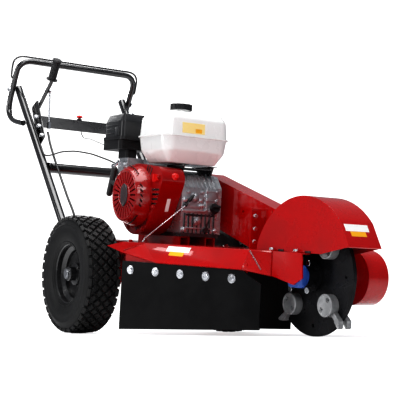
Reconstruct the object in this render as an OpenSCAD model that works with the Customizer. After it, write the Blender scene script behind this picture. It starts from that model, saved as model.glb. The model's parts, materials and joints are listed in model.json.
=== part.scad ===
// Walk-behind stump grinder: two pneumatic wheels, a flat deck with the engine,
// a belt drive down the left side and a toothed cutter disc under a hood at the front.
// X points forward to the cutter, Y to the operator's left, Z up. Z = 0 is the ground.

/* [Wheels] */
// Tyre outside radius
tyre_r = 203; // [185:1:225]
// Tyre width
tyre_w = 124; // [110:1:135]
// Rim radius at the bead seat
rim_r = 101; // [95:1:110]
// Half of the track, centre line to tyre centre
track_half = 312; // [300:1:340]
// Axle radius
axle_r = 12.7; // [10:0.1:16]

/* [Deck] */
// Height of the deck's top above the axle
deck_z = 122.5; // [110:0.5:150]
// Plate thickness
sheet = 4; // [3:0.5:6]
// Rear end of the deck, from the axle
deck_rear = 300; // [280:1:340]
// Front end of the deck, from the axle
deck_front = 928; // [915:1:940]
// Half width between the wheels
deck_half = 210; // [190:1:215]
// Half width of the front fork
fork_half = 78; // [74:1:90]
// Depth of the sloping side flange
flange_drop = 58; // [45:1:65]
// Rubber flap thickness
flap_t = 6; // [4:0.5:6]
// Ground clearance of the rubber flaps
flap_gap = 17; // [3:0.5:25]

/* [Cutter] */
// Cutter disc radius
disc_r = 170; // [155:1:180]
// Cutter disc thickness
disc_t = 12; // [8:1:16]
// Cutter shaft, distance forward of the axle
cut_x = 897; // [880:1:920]
// Cutter shaft, height above the axle on a level deck
cut_z = 57; // [45:1:65]
// Cutter shaft radius
shaft_r = 15.9; // [12:0.1:20]
// Tooth pockets on each face of the disc
pockets = 4; // [3:1:5]
// Radius of the pocket circle
pocket_circle = 113; // [105:1:120]
// Pocket radius
pocket_r = 32; // [26:1:36]
// Tooth tip radius
tooth_tip = 190; // [180:1:205]
// Hood radius
hood_r = 228; // [215:1:240]
// Half width of the hood
hood_half = 58; // [50:1:62]

/* [Engine] */
// Crankshaft, distance forward of the axle
crank_x = 80; // [60:1:110]
// Height of the engine rails
rail_h = 26.5; // [20:0.5:50]
// Crankshaft height above the engine's base
crank_h = 132; // [125:1:140]
// Crankshaft radius
crank_r = 12.7; // [10:0.1:16]
// Drive pulley radius
drive_r = 50; // [40:1:60]
// Driven pulley radius
driven_r = 68; // [55:1:70]
// Fuel tank height
tank_h = 177; // [130:1:185]
// Fuel cap radius
cap_r = 39; // [30:1:44]

/* [Belt guard] */
// Inner face of the belt guard
guard_y = 130; // [127:1:140]
// Width of the belt guard
guard_w = 76; // [70:1:90]
// Nose radius of the belt guard
nose_r = 81; // [79:1:90]

/* [Handle] */
// Handle tube radius
tube_r = 16; // [12:0.5:20]
// Handle tube top, behind the axle
tube_top_x = 842; // [780:1:900]
// Handle tube top, above the axle
tube_top_z = 737; // [680:1:800]
// Half spread of the tube tops
tube_top_y = 247; // [240:1:255]
// Grab bar tube radius
bar_r = 12; // [10:0.5:14]
// Bail rod radius
bail_r = 4; // [3:0.5:5]

/* [Fits] */
// Running clearance between a shaft and its bore
run_gap = 0.05; // [0.02:0.01:0.1]
// Clearance between parts that slide or hang beside each other
fit_gap = 0.3; // [0.2:0.1:0.6]

/* [Hidden] */
$fn = 64;

RED = "firebrick";
BLACK = [0.08, 0.08, 0.09];
STEEL = "silver";
GREY = "gray";

// The machine stands on its wheels and its disc, so the deck tips nose down.
tip = asin((tyre_r - disc_r) / norm([cut_x, cut_z])) + atan2(cut_z, cut_x);
crank_z = deck_z + rail_h + crank_h;
tube_foot_y = deck_half + tube_r + 1.2;
base_z = deck_z + rail_h;
bar_back = 34;
foot = [22 - deck_rear, -tube_foot_y, deck_z - 27];
top = [-tube_top_x, -tube_top_y, tube_top_z];
tube_len = norm(top - foot);
function on_ground(p) = [p[0] * cos(tip) + p[2] * sin(tip), p[1],
                         tyre_r - p[0] * sin(tip) + p[2] * cos(tip)];
guard_end = guard_y + guard_w;
module place() { translate([-mid_x, 0, tyre_r]) rotate([0, tip, 0]) children(); }

// Extrudes an outline drawn in X and Z along Y.
module xz(y0, h) { translate([0, y0 + h, 0]) rotate([90, 0, 0]) linear_extrude(h) children(); }
// A cylinder along Y.
module ycyl(x, z, y0, h, r) { translate([x, y0, z]) rotate([-90, 0, 0]) cylinder(r = r, h = h); }
// Turns a profile drawn in radius and Y about an axis along Y.
module yrev(x, z) { translate([x, 0, z]) rotate([-90, 0, 0]) rotate_extrude() children(); }
module box(x0, x1, y0, y1, z0, z1) { translate([x0, y0, z0]) cube([x1 - x0, y1 - y0, z1 - z0]); }
module left_side() { mirror([0, 1, 0]) children(); }
module rounded_box(x0, x1, y0, y1, z0, z1, r) {
    translate([x0 + r, y0 + r, z0]) linear_extrude(z1 - z0)
        offset(r = r, $fn = 32) square([x1 - x0 - 2 * r, y1 - y0 - 2 * r]);
}
// A hexagon head with its washer, standing on z = 0 along +Z, with its shank below.
module bolt(r, grip) {
    cylinder(r = r * 2.1, h = 1.6);
    cylinder(r = r * 1.75, h = 1.6 + r * 1.2, $fn = 6);
    translate([0, 0, -grip]) cylinder(r = r, h = grip + 1);
}
// A flat plate over an outline in space, seen from its outer side anticlockwise. It lies
// a little under the outline and reaches a little past it, so that folded plates join.
module panel(outline, t) {
    n = cross(outline[1] - outline[0], outline[2] - outline[0]);
    u = n / norm(n);
    k = len(outline);
    middle = [for (i = [0 : k - 1]) 1 / k] * outline;
    p = [for (q = outline) q + (q - middle) / norm(q - middle) * 0.6 - u * 0.6];
    polyhedron(points = concat(p, [for (q = p) q - u * t]),
        faces = concat([[for (i = [k - 1 : -1 : 0]) i]], [[for (i = [0 : k - 1]) i + k]],
            [for (i = [0 : k - 1]) [i, (i + 1) % k, (i + 1) % k + k, i + k]]));
}
// Rounds the corners of an open line of points, each over a length d on both sides.
function corner(a, b, c, d, n) =
    let (p = b + (a - b) / norm(a - b) * min(d, norm(a - b) * 0.48),
         q = b + (c - b) / norm(c - b) * min(d, norm(c - b) * 0.48))
    [for (i = [0 : n]) let (t = i / n) p * (1 - t) * (1 - t) + b * 2 * t * (1 - t) + q * t * t];
function smooth(p, d, n) = concat([p[0]],
    [for (i = [1 : len(p) - 2]) each corner(p[i - 1], p[i], p[i + 1], d, n)], [p[len(p) - 1]]);
function unit(v) = v / norm(v);
function tangent(p, i) = unit(p[min(i + 1, len(p) - 1)] - p[max(i - 1, 0)]);
function square_to(v, t) = unit(v - t * (v * t));
// A round tube or rod along a line of points.
module rod(p, r, sides) {
    k = len(p);
    first = square_to(abs(tangent(p, 0)[2]) < 0.8 ? [0, 0, 1] : [0, 1, 0], tangent(p, 0));
    ups = [for (i = 0, v = first; i < k; i = i + 1,
                v = i < k ? square_to(v, tangent(p, i)) : v) v];
    polyhedron(points = [for (i = [0 : k - 1]) let (t = tangent(p, i), v = ups[i], w = cross(t, v))
            for (j = [0 : sides - 1]) p[i] + (v * cos(360 * j / sides) + w * sin(360 * j / sides)) * r],
        faces = concat([[for (j = [0 : sides - 1]) j]],
            [[for (j = [sides - 1 : -1 : 0]) (k - 1) * sides + j]],
            [for (i = [0 : k - 2], j = [0 : sides - 1])
                [i * sides + j, (i + 1) * sides + j, (i + 1) * sides + (j + 1) % sides,
                 i * sides + (j + 1) % sides]]));
}

// --- Deck -------------------------------------------------------------------------
wing = [274, -297, deck_z];
crease_1 = [330, -250, deck_z];
crease_2 = [725, -112, deck_z];
flange_out = 40;
edge = unit(crease_2 - crease_1);
outward = [edge[1], -edge[0], 0];
low_1 = crease_1 + edge * 90 + outward * flange_out - [0, 0, flange_drop];
low_2 = crease_2 + outward * flange_out - [0, 0, flange_drop];
wing_low = [279, -305, deck_z - 32];
wing_tip = [250, -340, deck_z - 15];
fork_top = [790, -fork_half, deck_z];
fork_low = [790, -fork_half, deck_z - 72];
fork_x = deck_front - 31;
fork_profile = [[790, deck_z], [deck_front, deck_z], [deck_front + 6, deck_z - 70],
                [fork_x - 2, deck_z - 91], [790, deck_z - 72]];
slot_half = 48;
slot_rear = cut_x - tooth_tip - 7;
left_edge = guard_y - 6;
left_end = cut_x - 62;
bracket_y = 176;

module front_fork() { xz(-fork_half, sheet) polygon(fork_profile); }
module bored_fork() {
    difference() {
        front_fork();
        ycyl(cut_x, cut_z, -fork_half - 1, sheet + 2, 30);
        for (a = [45 : 90 : 315])
            ycyl(cut_x + 62 * cos(a), cut_z + 62 * sin(a), -fork_half - 1, sheet + 2, 5.5);
    }
}
module wing_panels() {
    panel([crease_1, wing, wing_low], sheet);
    panel([wing, wing_tip, wing_low], sheet);
}
module deck() {
    color(RED) place() {
        difference() {
            translate([0, 0, deck_z - sheet]) linear_extrude(sheet) polygon([
                [-deck_rear, -deck_half], [235, -deck_half], [wing[0], wing[1]],
                [crease_1[0], crease_1[1]], [crease_2[0], crease_2[1]],
                [fork_top[0], fork_top[1]], [deck_front, -fork_half], [deck_front, -slot_half],
                [slot_rear, -slot_half], [slot_rear, slot_half], [deck_front, slot_half],
                [deck_front, fork_half], [left_end, fork_half], [left_end, left_edge],
                [380, left_edge], [crease_1[0], -crease_1[1]], [wing[0], -wing[1]],
                [235, deck_half], [-deck_rear, deck_half]]);
            for (x = [-25, 185], y = rail_centres) translate([x, y, deck_z - sheet - 1])
                cylinder(r = 5.5, h = sheet + 2);
        }
        panel([crease_1, low_1, low_2, crease_2], sheet);
        panel([crease_1, wing_low, low_1], sheet);
        wing_panels();
        left_side() wing_panels();
        panel([crease_2, low_2, fork_low], sheet);
        panel([crease_2, fork_low, fork_top], sheet);
        front_fork();
        left_side() bored_fork();
        for (s = [-1, 1]) difference() {
            xz(s < 0 ? -deck_half : deck_half - sheet, sheet) polygon([[-deck_rear, deck_z],
                [235, deck_z], [235, deck_z - 42], [-deck_rear + 20, deck_z - 52],
                [-deck_rear, deck_z - 40]]);
            for (p = foot_bolts) ycyl(p[0], p[1], s * deck_half - sheet - 1, 2 * sheet + 2, 5);
        }
        box(-deck_rear, -deck_rear + sheet, -deck_half, deck_half, deck_z - 40, deck_z);
        xz(left_edge - sheet, sheet) polygon([[380, deck_z], [left_end, deck_z],
            [left_end, deck_z - 82], [380, deck_z - 82]]);
        difference() {
            on_flap() translate([8, flap_t, deck_z - 104]) cube([480, sheet, 64]);
            flap_holes();
        }
        for (s = [-1, 1]) difference() {
            xz(s * bracket_y - 5, 10) polygon([[-90, deck_z - 2], [90, deck_z - 2], [38, -30], [-38, -30]]);
            ycyl(0, 0, s * bracket_y - 6, 12, axle_r + run_gap);
        }
    }
}
// --- Flaps ------------------------------------------------------------------------
flap_start = [285, -300];
flap_stop = [799, -119];
flap_turn = atan2(flap_stop[1] - flap_start[1], flap_stop[0] - flap_start[0]);
flap_len = norm(flap_stop - flap_start);
flap_row = [38, 143, 243, 343, 440];
flap_bolt_z = deck_z - 88;
left_row = [50, 135, 220];
left_flap_end = 640;
function ground_under(x) = -tyre_r / cos(tip) + x * tan(tip) + flap_gap / cos(tip);
module on_flap() { translate([flap_start[0], flap_start[1], 0]) rotate([0, 0, flap_turn]) children(); }
module flap_holes() {
    on_flap() for (x = flap_row) translate([x, -1, flap_bolt_z]) rotate([-90, 0, 0])
        cylinder(r = 4.3, h = flap_t + sheet + 2);
}
module right_flap() {
    color(BLACK) place() difference() {
        on_flap() translate([0, flap_t, 0]) rotate([90, 0, 0]) linear_extrude(flap_t) polygon([
            [0, deck_z - 61], [480, deck_z - 61], [500, deck_z - 76], [flap_len, deck_z - 98],
            [flap_len, ground_under(flap_stop[0])], [0, ground_under(flap_start[0])]]);
        flap_holes();
    }
}
module left_flap() {
    color(BLACK) place() difference() {
        xz(left_edge - sheet - flap_t, flap_t) polygon([[384, deck_z - 50],
            [left_flap_end, deck_z - 50], [left_flap_end, ground_under(left_flap_end)], [384, ground_under(384)]]);
        for (x = left_row) ycyl(384 + x, deck_z - 66, left_edge - sheet - flap_t - 1, flap_t + 2, 4.3);
    }
}
module flap_bolt(grip) {
    cylinder(r = 14, h = 2.5);
    translate([0, 0, 2.5]) cylinder(r = 7.5, h = 4.5, $fn = 6);
    translate([0, 0, -grip]) cylinder(r = 4, h = grip + 3);
}
module flap_bolts() {
    color(STEEL) place() {
        on_flap() for (x = flap_row) translate([x, 0, flap_bolt_z]) rotate([90, 0, 0])
            flap_bolt(flap_t + sheet + 4);
        for (x = left_row) translate([384 + x, left_edge - sheet - flap_t, deck_z - 66]) rotate([90, 0, 0])
            flap_bolt(flap_t);
    }
}
// --- Axle and wheels --------------------------------------------------------------
hub_in = track_half - 52;
hub_out = track_half + 44;
module axle() {
    color(GREY) place() {
        ycyl(0, 0, -hub_out - 10, 2 * hub_out + 20, axle_r);
        for (s = [-1, 1]) {
            ycyl(0, 0, s * (hub_in - 6) - 5, 10, axle_r + 8);
            ycyl(0, 0, s * (hub_out + 5) - 4, 8, axle_r + 5);
        }
    }
}
tread = 9;
module tyre(s) {
    w = tyre_w / 2;
    c = s * track_half;
    color(BLACK) place() yrev(0, 0) difference() {
        polygon([for (p = [[rim_r, -w + 22], [rim_r + 12, -w + 12], [rim_r + 40, -w + 2],
            [tyre_r - 42, -w], [tyre_r - 20, -w + 5], [tyre_r - 8, -w + 13],
            [tyre_r, -w + 24], [tyre_r, -20], [tyre_r - tread, -18], [tyre_r - tread, -12],
            [tyre_r, -10], [tyre_r, 10], [tyre_r - tread, 12], [tyre_r - tread, 18],
            [tyre_r, 20], [tyre_r, w - 24], [tyre_r - 8, w - 13], [tyre_r - 20, w - 5],
            [tyre_r - 42, w], [rim_r + 40, w - 2], [rim_r + 12, w - 12], [rim_r, w - 22]])
            [p[0], c + p[1]]]);
        translate([rim_r + 46, c]) scale([1, 1]) offset(r = 20) square([34, tyre_w - 78], center = true);
        translate([rim_r - 1, c - 20]) square([30, 40]);
    }
}
module rim(s) {
    w = tyre_w / 2;
    c = s * track_half;
    t = 3;
    color(BLACK) place() difference() {
        union() {
            yrev(0, 0) {
                polygon([for (p = [[rim_r, -w + 21.7], [rim_r + 9, -w + 14.2], [rim_r + 6.5, -w + 11],
                    [rim_r - t, -w + 19], [rim_r - t, -26], [rim_r - 14 - t, -16],
                    [rim_r - 14 - t, 16], [rim_r - t, 26], [rim_r - t, w - 19],
                    [rim_r + 6.5, w - 11], [rim_r + 9, w - 14.2], [rim_r, w - 21.7], [rim_r, 24],
                    [rim_r - 14, 14], [rim_r - 14, -14], [rim_r, -24]]) [p[0], c + p[1]]]);
                translate([axle_r + 10, c - 3]) square([rim_r - 14 - axle_r - 11, 6]);
                translate([axle_r + 9, c - s * 4 - 24]) square([16, 48]);
            }
            ycyl(0, 0, s > 0 ? hub_in : -hub_out, hub_out - hub_in, axle_r + 11);
        }
        ycyl(0, 0, s * track_half - 70, 140, axle_r + run_gap);
        for (a = [0 : 90 : 270]) ycyl(58 * cos(a), 58 * sin(a), c - 10, 20, 12);
    }
}
module right_tyre() { tyre(-1); }
module left_tyre() { tyre(1); }
module right_rim() { rim(-1); }
module left_rim() { rim(1); }

// --- Hood and belt guard ----------------------------------------------------------
hood_t = 3;
hood_tip = [cut_x + hood_r * 0.9 , cut_z + 90];
function hood_line(o) = concat([[cut_x - (hood_r - o) * cos(21), deck_z + fit_gap]],
    [for (a = [159 : -4 : 43]) [cut_x + (hood_r - o) * cos(a), cut_z + (hood_r - o) * sin(a)]],
    [[hood_tip[0] - o, hood_tip[1] - (o > 0 ? 2 : 0)]]);
function hood_outline() = concat(hood_line(0), [[cut_x + 88, deck_z + fit_gap]]);
module hood() {
    color(RED) place() {
        for (y = [-hood_half, hood_half - hood_t]) xz(y, hood_t) polygon(hood_outline());
        xz(-hood_half, 2 * hood_half) polygon(concat(hood_line(0),
            [for (i = [len(hood_line(0)) - 1 : -1 : 0]) hood_line(hood_t)[i]]));
        for (x = hood_tabs, s = [-1, 1]) difference() {
            box(x - 18, x + 18, s > 0 ? hood_half - hood_t : -fork_half + 2,
                s > 0 ? fork_half - 2 : hood_t - hood_half, deck_z + fit_gap, deck_z + hood_t + fit_gap);
            translate([x, s * (fork_half + hood_half) / 2, deck_z - 1]) cylinder(r = 4.3, h = 8);
        }
    }
}
hood_tabs = [cut_x - 125, cut_x - 10];
module cover_bolts() {
    color(STEEL) place() {
        for (x = hood_tabs, s = [-1, 1])
            translate([x, s * (fork_half + hood_half) / 2, deck_z + hood_t + fit_gap]) bolt(4, hood_t);
        for (z = [22, 64, 106]) translate([470, guard_y - 46, deck_z + z]) rotate([0, 90, 0]) bolt(4, 0);
        for (p = guard_screws) translate([p[0], guard_end, p[1]]) rotate([-90, 0, 0]) bolt(4, 3);
    }
}
guard_screws = [[130, crank_z + 40], [330, 245], [560, 150], [780, 108]];
module guard_shape(o) {
    hull() {
        translate([cut_x, cut_z]) circle(r = nose_r - o, $fn = 48);
        translate([crank_x, crank_z]) circle(r = drive_r + 16 - o, $fn = 48);
        translate([crank_x, crank_z + 62]) circle(r = 38 - o, $fn = 32);
    }
}
module guard_back() {
    color(RED) place() {
        difference() {
            xz(guard_y, 3) guard_shape(0);
            ycyl(crank_x, crank_z, guard_y - 1, 5, 30);
            ycyl(cut_x, cut_z, guard_y - 1, 5, shaft_r + 12);
            for (p = guard_screws) ycyl(p[0], p[1], guard_y - 1, 5, 4.3);
        }
        box(464, 470, guard_y - 62, guard_y + 1, deck_z + fit_gap, deck_z + 130);
        box(464, 500, guard_y - 3, guard_y + 1, deck_z + fit_gap, deck_z + 126);
    }
}
module guard_cover() {
    color(RED) place() difference() {
        xz(guard_y + 3, guard_w - 3) guard_shape(0);
        xz(guard_y + 2, guard_w - 5) guard_shape(3);
        for (p = guard_screws) ycyl(p[0], p[1], guard_end - 4, 6, 4.3);
    }
}
// --- Bearings and cutter ----------------------------------------------------------
bearing_r = shaft_r + run_gap;
module bearing_housings() {
    color("royalblue") place() for (s = [-1, 1]) difference() {
        union() {
            xz(s > 0 ? fork_half - sheet - 13 : sheet + 1 - fork_half, 12)
                translate([cut_x, cut_z]) offset(r = 12) square(s > 0 ? 94 : 42, center = true);
            ycyl(cut_x, cut_z, s > 0 ? fork_half - sheet - 26 : sheet - fork_half, 26, s > 0 ? 40 : 32);
        }
        ycyl(cut_x, cut_z, s * fork_half - 30, 60, bearing_r);
    }
}
hub_face = disc_t / 2;
module cutter_shaft() {
    color(STEEL) place() ycyl(cut_x, cut_z, sheet + 2 - fork_half, fork_half - sheet - 12 + guard_end, shaft_r);
}
module cutter_hub() {
    color(BLACK) place() for (s = [-1, 1]) difference() {
        union() {
            ycyl(cut_x, cut_z, s > 0 ? hub_face : -hub_face - 12, 12, 44);
            ycyl(cut_x, cut_z, s > 0 ? hub_face : -hub_face - 36, 36, 27);
            for (a = [45 : 90 : 315]) translate([cut_x + 35 * cos(a), s * (hub_face + 12), cut_z + 35 * sin(a)])
                rotate([s * -90, 0, 0]) cylinder(r = 7, h = 7, $fn = 6);
        }
        ycyl(cut_x, cut_z, -60, 120, bearing_r);
    }
}
pocket_turn = 48;
module at_pockets() {
    for (i = [0 : pockets - 1]) translate([cut_x, 0, cut_z]) rotate([0, -pocket_turn - 360 / pockets * i, 0])
        children();
}
tooth_w = 15;
pocket_h = 26;
module tooth_slot(gap) {
    for (s = [-1, 1]) translate([pocket_circle - 8, s * (disc_t / 2 + tooth_w / 2 + 1) - tooth_w / 2 - gap,
        -tooth_w / 2 - gap]) cube([tooth_tip, tooth_w + 2 * gap, tooth_w + 2 * gap]);
}
module cutter_disc() {
    color(BLACK) place() difference() {
        ycyl(cut_x, cut_z, -disc_t / 2, disc_t, disc_r, $fn = 128);
        ycyl(cut_x, cut_z, -disc_t, 2 * disc_t, bearing_r);
        at_pockets() for (z = [-15, 15]) translate([pocket_circle - 6, -disc_t, z]) rotate([-90, 0, 0])
            cylinder(r = 5.1, h = 2 * disc_t);
        for (i = [0 : pockets - 1]) translate([cut_x, 0, cut_z]) rotate([0, -3 - 360 / pockets * i, 0])
            translate([disc_r * 0.82, -disc_t, 0]) rotate([-90, 0, 0]) cylinder(r = 5, h = 2 * disc_t);
    }
}
module tooth_pockets() {
    color("darkgray") place() at_pockets() for (s = [-1, 1]) {
        difference() {
            translate([pocket_circle, s > 0 ? disc_t / 2 : -disc_t / 2 - pocket_h, 0]) rotate([-90, 0, 0])
                cylinder(r = pocket_r, h = pocket_h);
            tooth_slot(fit_gap);
            for (z = [-19, 19]) translate([pocket_circle - 2, s > 0 ? disc_t / 2 + pocket_h - 9 : -disc_t / 2 - pocket_h - 1, z])
                rotate([-90, 0, 0]) cylinder(r = 6.5, h = 10);
        }
    }
}
module cutter_teeth() {
    color(STEEL) place() at_pockets() for (s = [-1, 1])
        translate([pocket_circle - 8, s * (disc_t / 2 + tooth_w / 2 + 1), 0]) {
            translate([0, -tooth_w / 2, -tooth_w / 2]) cube([tooth_tip - pocket_circle - 8, tooth_w, tooth_w]);
            rotate([90, 0, 0]) translate([0, 0, -tooth_w / 2 - 0.8]) linear_extrude(tooth_w + 1.6)
                polygon([[tooth_tip - pocket_circle - 17, -tooth_w / 2 - 2], [tooth_tip - pocket_circle + 8, -tooth_w / 2 - 4],
                         [tooth_tip - pocket_circle + 8, -tooth_w / 2 + 2], [tooth_tip - pocket_circle - 4, tooth_w / 2],
                         [tooth_tip - pocket_circle - 17, tooth_w / 2]]);
        }
}
belt_y = guard_y + 24;
belt_w = 34;
module pulley(x, z, r, bore) {
    color(GREY) place() difference() {
        yrev(x, z) polygon([[bore - 1, belt_y - 5], [r + 1, belt_y - 5], [r + 1, belt_y - 1], [r - 6, belt_y + 3],
            [r + 1, belt_y + belt_w / 2 - 1], [r + 1, belt_y + belt_w / 2 + 1], [r - 6, belt_y + belt_w - 3],
            [r + 1, belt_y + belt_w + 1], [r + 1, belt_y + belt_w + 5], [bore - 1, belt_y + belt_w + 5]]);
        ycyl(x, z, belt_y - 10, belt_w + 20, bore);
    }
}
module driven_pulley() { pulley(cut_x, cut_z, driven_r, bearing_r); }
module drive_pulley() { pulley(crank_x, crank_z, drive_r, crank_r + run_gap); }
module belt_loop(o) {
    hull() {
        translate([cut_x, cut_z]) circle(r = driven_r + o, $fn = 72);
        translate([crank_x, crank_z]) circle(r = drive_r + o, $fn = 72);
    }
}
module drive_belt() {
    color(BLACK) place() xz(belt_y, belt_w) difference() {
        belt_loop(7);
        belt_loop(1 + fit_gap);
    }
}
// --- Engine -----------------------------------------------------------------------
rail_centres = [-38, 65];
eng_right = -58;
eng_left = 92;
cyl_turn = 25;
module engine_rails() {
    color(RED) place() for (y = rail_centres) difference() {
        box(crank_x - 140, crank_x + 152, y - 20, y + 20, deck_z, base_z);
        box(crank_x - 141, crank_x + 153, y - 16, y + 16, deck_z - 1, base_z - 4);
        for (x = [-25, 185]) translate([x, y, base_z - 6]) cylinder(r = 5.5, h = 8);
    }
}
case_top = [[crank_x + 30, crank_z + 100], [crank_x + 118, crank_z + 82]];
cyl_base = 122;
case_seat = [for (v = [-56, 60]) [crank_x + v * sin(cyl_turn) - cyl_base * cos(cyl_turn),
                                  crank_z + v * cos(cyl_turn) + cyl_base * sin(cyl_turn)]];
module case_outline(o) {
    polygon([[crank_x - 120 + o, base_z + 12 + o], case_seat[0] + [o, 0], case_seat[1] + [o, -o / 2],
             case_top[0] - [0, o], case_top[1] - [o, o],
             [crank_x + 152 - o, crank_z + 40], [crank_x + 152 - o, base_z + 12 + o]]);
}
module crankcase() {
    color("dimgray") place() difference() {
        union() {
            xz(eng_right, eng_left - eng_right) case_outline(0);
            box(crank_x - 135, crank_x + 160, eng_right - 2, eng_left, base_z, base_z + 13);
            ycyl(crank_x, crank_z, eng_right - 8, 10, 34);
            for (z = [crank_z - 60, crank_z - 30, crank_z]) box(crank_x + 150, crank_x + 156, eng_right + 20, eng_left - 30, z, z + 6);
            translate([crank_x + 150, 40, base_z + 26]) rotate([0, 90, 0]) cylinder(r = 11, h = 14, $fn = 6);
            on_filler() cylinder(r = 16, h = 51.7);
        }
        xz(eng_right + 8, eng_left - eng_right) case_outline(9);
        ycyl(crank_x, crank_z, eng_right - 10, 40, crank_r + run_gap);
        for (x = [-25, 185], y = rail_centres) translate([x, y, base_z - 1]) cylinder(r = 5.5, h = 30);
        on_filler() translate([0, 0, -12]) cylinder(r = 10.3, h = 72);
    }
}
module side_cover() {
    color("darkgray") place() difference() {
        union() {
            xz(eng_left, 12) case_outline(0);
            ycyl(crank_x, crank_z, eng_left, 30, 44);
            for (a = [0 : 60 : 300]) ycyl(crank_x + 72 * cos(a), crank_z + 72 * sin(a) + 4, eng_left + 11, 6, 7);
        }
        ycyl(crank_x, crank_z, eng_left - 1, 40, crank_r + run_gap);
    }
}
module on_cylinder() { translate([crank_x, 0, crank_z]) rotate([0, cyl_turn - 90, 0]) children(); }
module cylinder_block() {
    color(STEEL) place() {
        difference() {
            union() { on_cylinder() {
                translate([-40, eng_right + 6, cyl_base]) cube([96, 132, 72]);
                for (z = [128 : 11 : 188]) translate([-52, eng_right - 2, z]) cube([120, 150, 4]);
            }
            translate([crank_x - 121, 50, crank_z + 112]) linear_extrude(30) circle(r = 20); }
            on_cylinder() translate([0, 10, 60]) cyl_bore();
        }
    }
}
module cyl_bore() { linear_extrude(126) circle(r = 44); }
module rocker_cover() {
    color(GREY) place() on_cylinder() {
        translate([-34, eng_right + 12, 194]) cube([86, 120, 8]);
        translate([-28, eng_right + 18, 202]) cube([74, 108, 34]);
    }
}
module spark_plug() {
    color(BLACK) place() on_cylinder() translate([-52, 34, 180]) rotate([0, -90, 0]) {
        linear_extrude(24) circle(r = 6);
        translate([0, 0, 20]) linear_extrude(32) circle(r = 11);
    }
}
module shroud_shape(o) {
    hull() {
        translate([crank_x - 2, crank_z - 10]) circle(r = 124 - o, $fn = 64);
        translate([crank_x + 128, crank_z + 58]) circle(r = 42 - o, $fn = 32);
        translate([crank_x - 92, crank_z + 62]) circle(r = 40 - o, $fn = 32);
    }
}
shroud_end = 148;
module fan_shroud() {
    color(RED) place() difference() {
        xz(-shroud_end, shroud_end + eng_right - 2) shroud_shape(0);
        xz(-shroud_end + 3, shroud_end) shroud_shape(3);
        ycyl(crank_x, crank_z, -shroud_end - 1, 6, 100);
        for (i = [0 : 6]) box(crank_x - 10 + i * 15, crank_x - 3 + i * 15, -shroud_end + 14, -shroud_end + 56, crank_z + 80, crank_z + 150);
        for (i = [0 : 3]) translate([crank_x + 92, -shroud_end - 1, crank_z - 30 + i * 16]) cube([60, 5, 6]);
    }
}
recoil_end = 199;
rope_turn = 20;
rope_from = [crank_x - 97, -172, crank_z + 32];
module recoil_cover() {
    color(RED) place() difference() {
        yrev(crank_x, crank_z) polygon([[108, -shroud_end], [108, -shroud_end - 10], [90, -recoil_end],
            [0, -recoil_end], [0, -recoil_end + 3], [87, -recoil_end + 3], [104, -shroud_end - 10], [104, -shroud_end]]);
        for (a = [0 : 15 : 345]) translate([crank_x, 0, crank_z]) rotate([0, a, 0])
            translate([42, -recoil_end - 1, -2.5]) cube([38, 6, 5]);
        translate(rope_from) rotate([0, 90 + rope_turn, 0]) translate([0, 0, -20]) linear_extrude(60) circle(r = 4);
    }
}
module starter_grip() {
    color(BLACK) place() translate(rope_from) rotate([0, rope_turn - 90, 0]) {
        translate([0, 0, -118]) linear_extrude(166) circle(r = 2.5);
        translate([0, 0, 4]) linear_extrude(54) circle(r = 9);
        hull() for (x = [-46, 46]) translate([x, 0, 64 - abs(x) / 8]) sphere(r = 11, $fn = 32);
    }
}
module crankshaft() {
    color(STEEL) place() {
        ycyl(crank_x, crank_z, -shroud_end + 6, shroud_end + guard_end - 12, crank_r);
        ycyl(crank_x, crank_z, 8, 30, 46);
    }
}
module flywheel() {
    color(GREY) place() difference() {
        union() {
            ycyl(crank_x, crank_z, -122, 42, 98);
            ycyl(crank_x, crank_z, -136, 60, 30);
        }
        ycyl(crank_x, crank_z, -140, 80, crank_r + run_gap);
        for (a = [0 : 30 : 330]) translate([crank_x, 0, crank_z]) rotate([0, a, 0])
            translate([60, -123, -3]) cube([50, 20, 18]);
    }
}
tank_x0 = crank_x - 33;
tank_x1 = crank_x + 182;
tank_y0 = -150;
tank_y1 = 112;
tank_seam = crank_z + 208;
tank_low = tank_seam - tank_h + 85;
module tank_slice(o, z) {
    translate([0, 0, z]) rounded_box(tank_x0 + o, tank_x1 - o, tank_y0 + o, tank_y1 - o, 0, 0.5, 42);
}
module fuel_tank() {
    color("white") place() difference() {
        union() {
            hull() { tank_slice(0, tank_seam); tank_slice(5, tank_seam + 64); tank_slice(24, tank_seam + 89); }
            hull() { tank_slice(0, tank_seam - 1); tank_slice(8, tank_seam - 50); tank_slice(40, tank_low); }
            tank_flange();
            translate([cap_at[0], cap_at[1], tank_seam + 83]) linear_extrude(18) circle(r = cap_r - 6);
        }
        hull() { tank_slice(4, tank_seam); tank_slice(11, tank_seam + 62); tank_slice(30, tank_seam + 83); }
        hull() { tank_slice(4, tank_seam - 1); tank_slice(14, tank_seam - 48); tank_slice(46, tank_low + 6); }
        translate([cap_at[0], cap_at[1], tank_seam + 70]) linear_extrude(50) circle(r = cap_r - 10);
    }
}
cap_at = [crank_x + 60, -25];
module tank_flange() {
    rounded_box(tank_x0 - 5, tank_x1 + 5, tank_y0 - 5, tank_y1 + 5, tank_seam - 3, tank_seam + 2, 46);
}
module fuel_cap() {
    color(BLACK) place() translate([cap_at[0], cap_at[1], tank_seam + 101]) {
        difference() {
            linear_extrude(20) circle(r = cap_r);
            for (a = [0 : 30 : 330]) rotate([0, 0, a]) translate([cap_r + 1, 0, 4]) linear_extrude(30) circle(r = 4);
        }
    }
}
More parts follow.
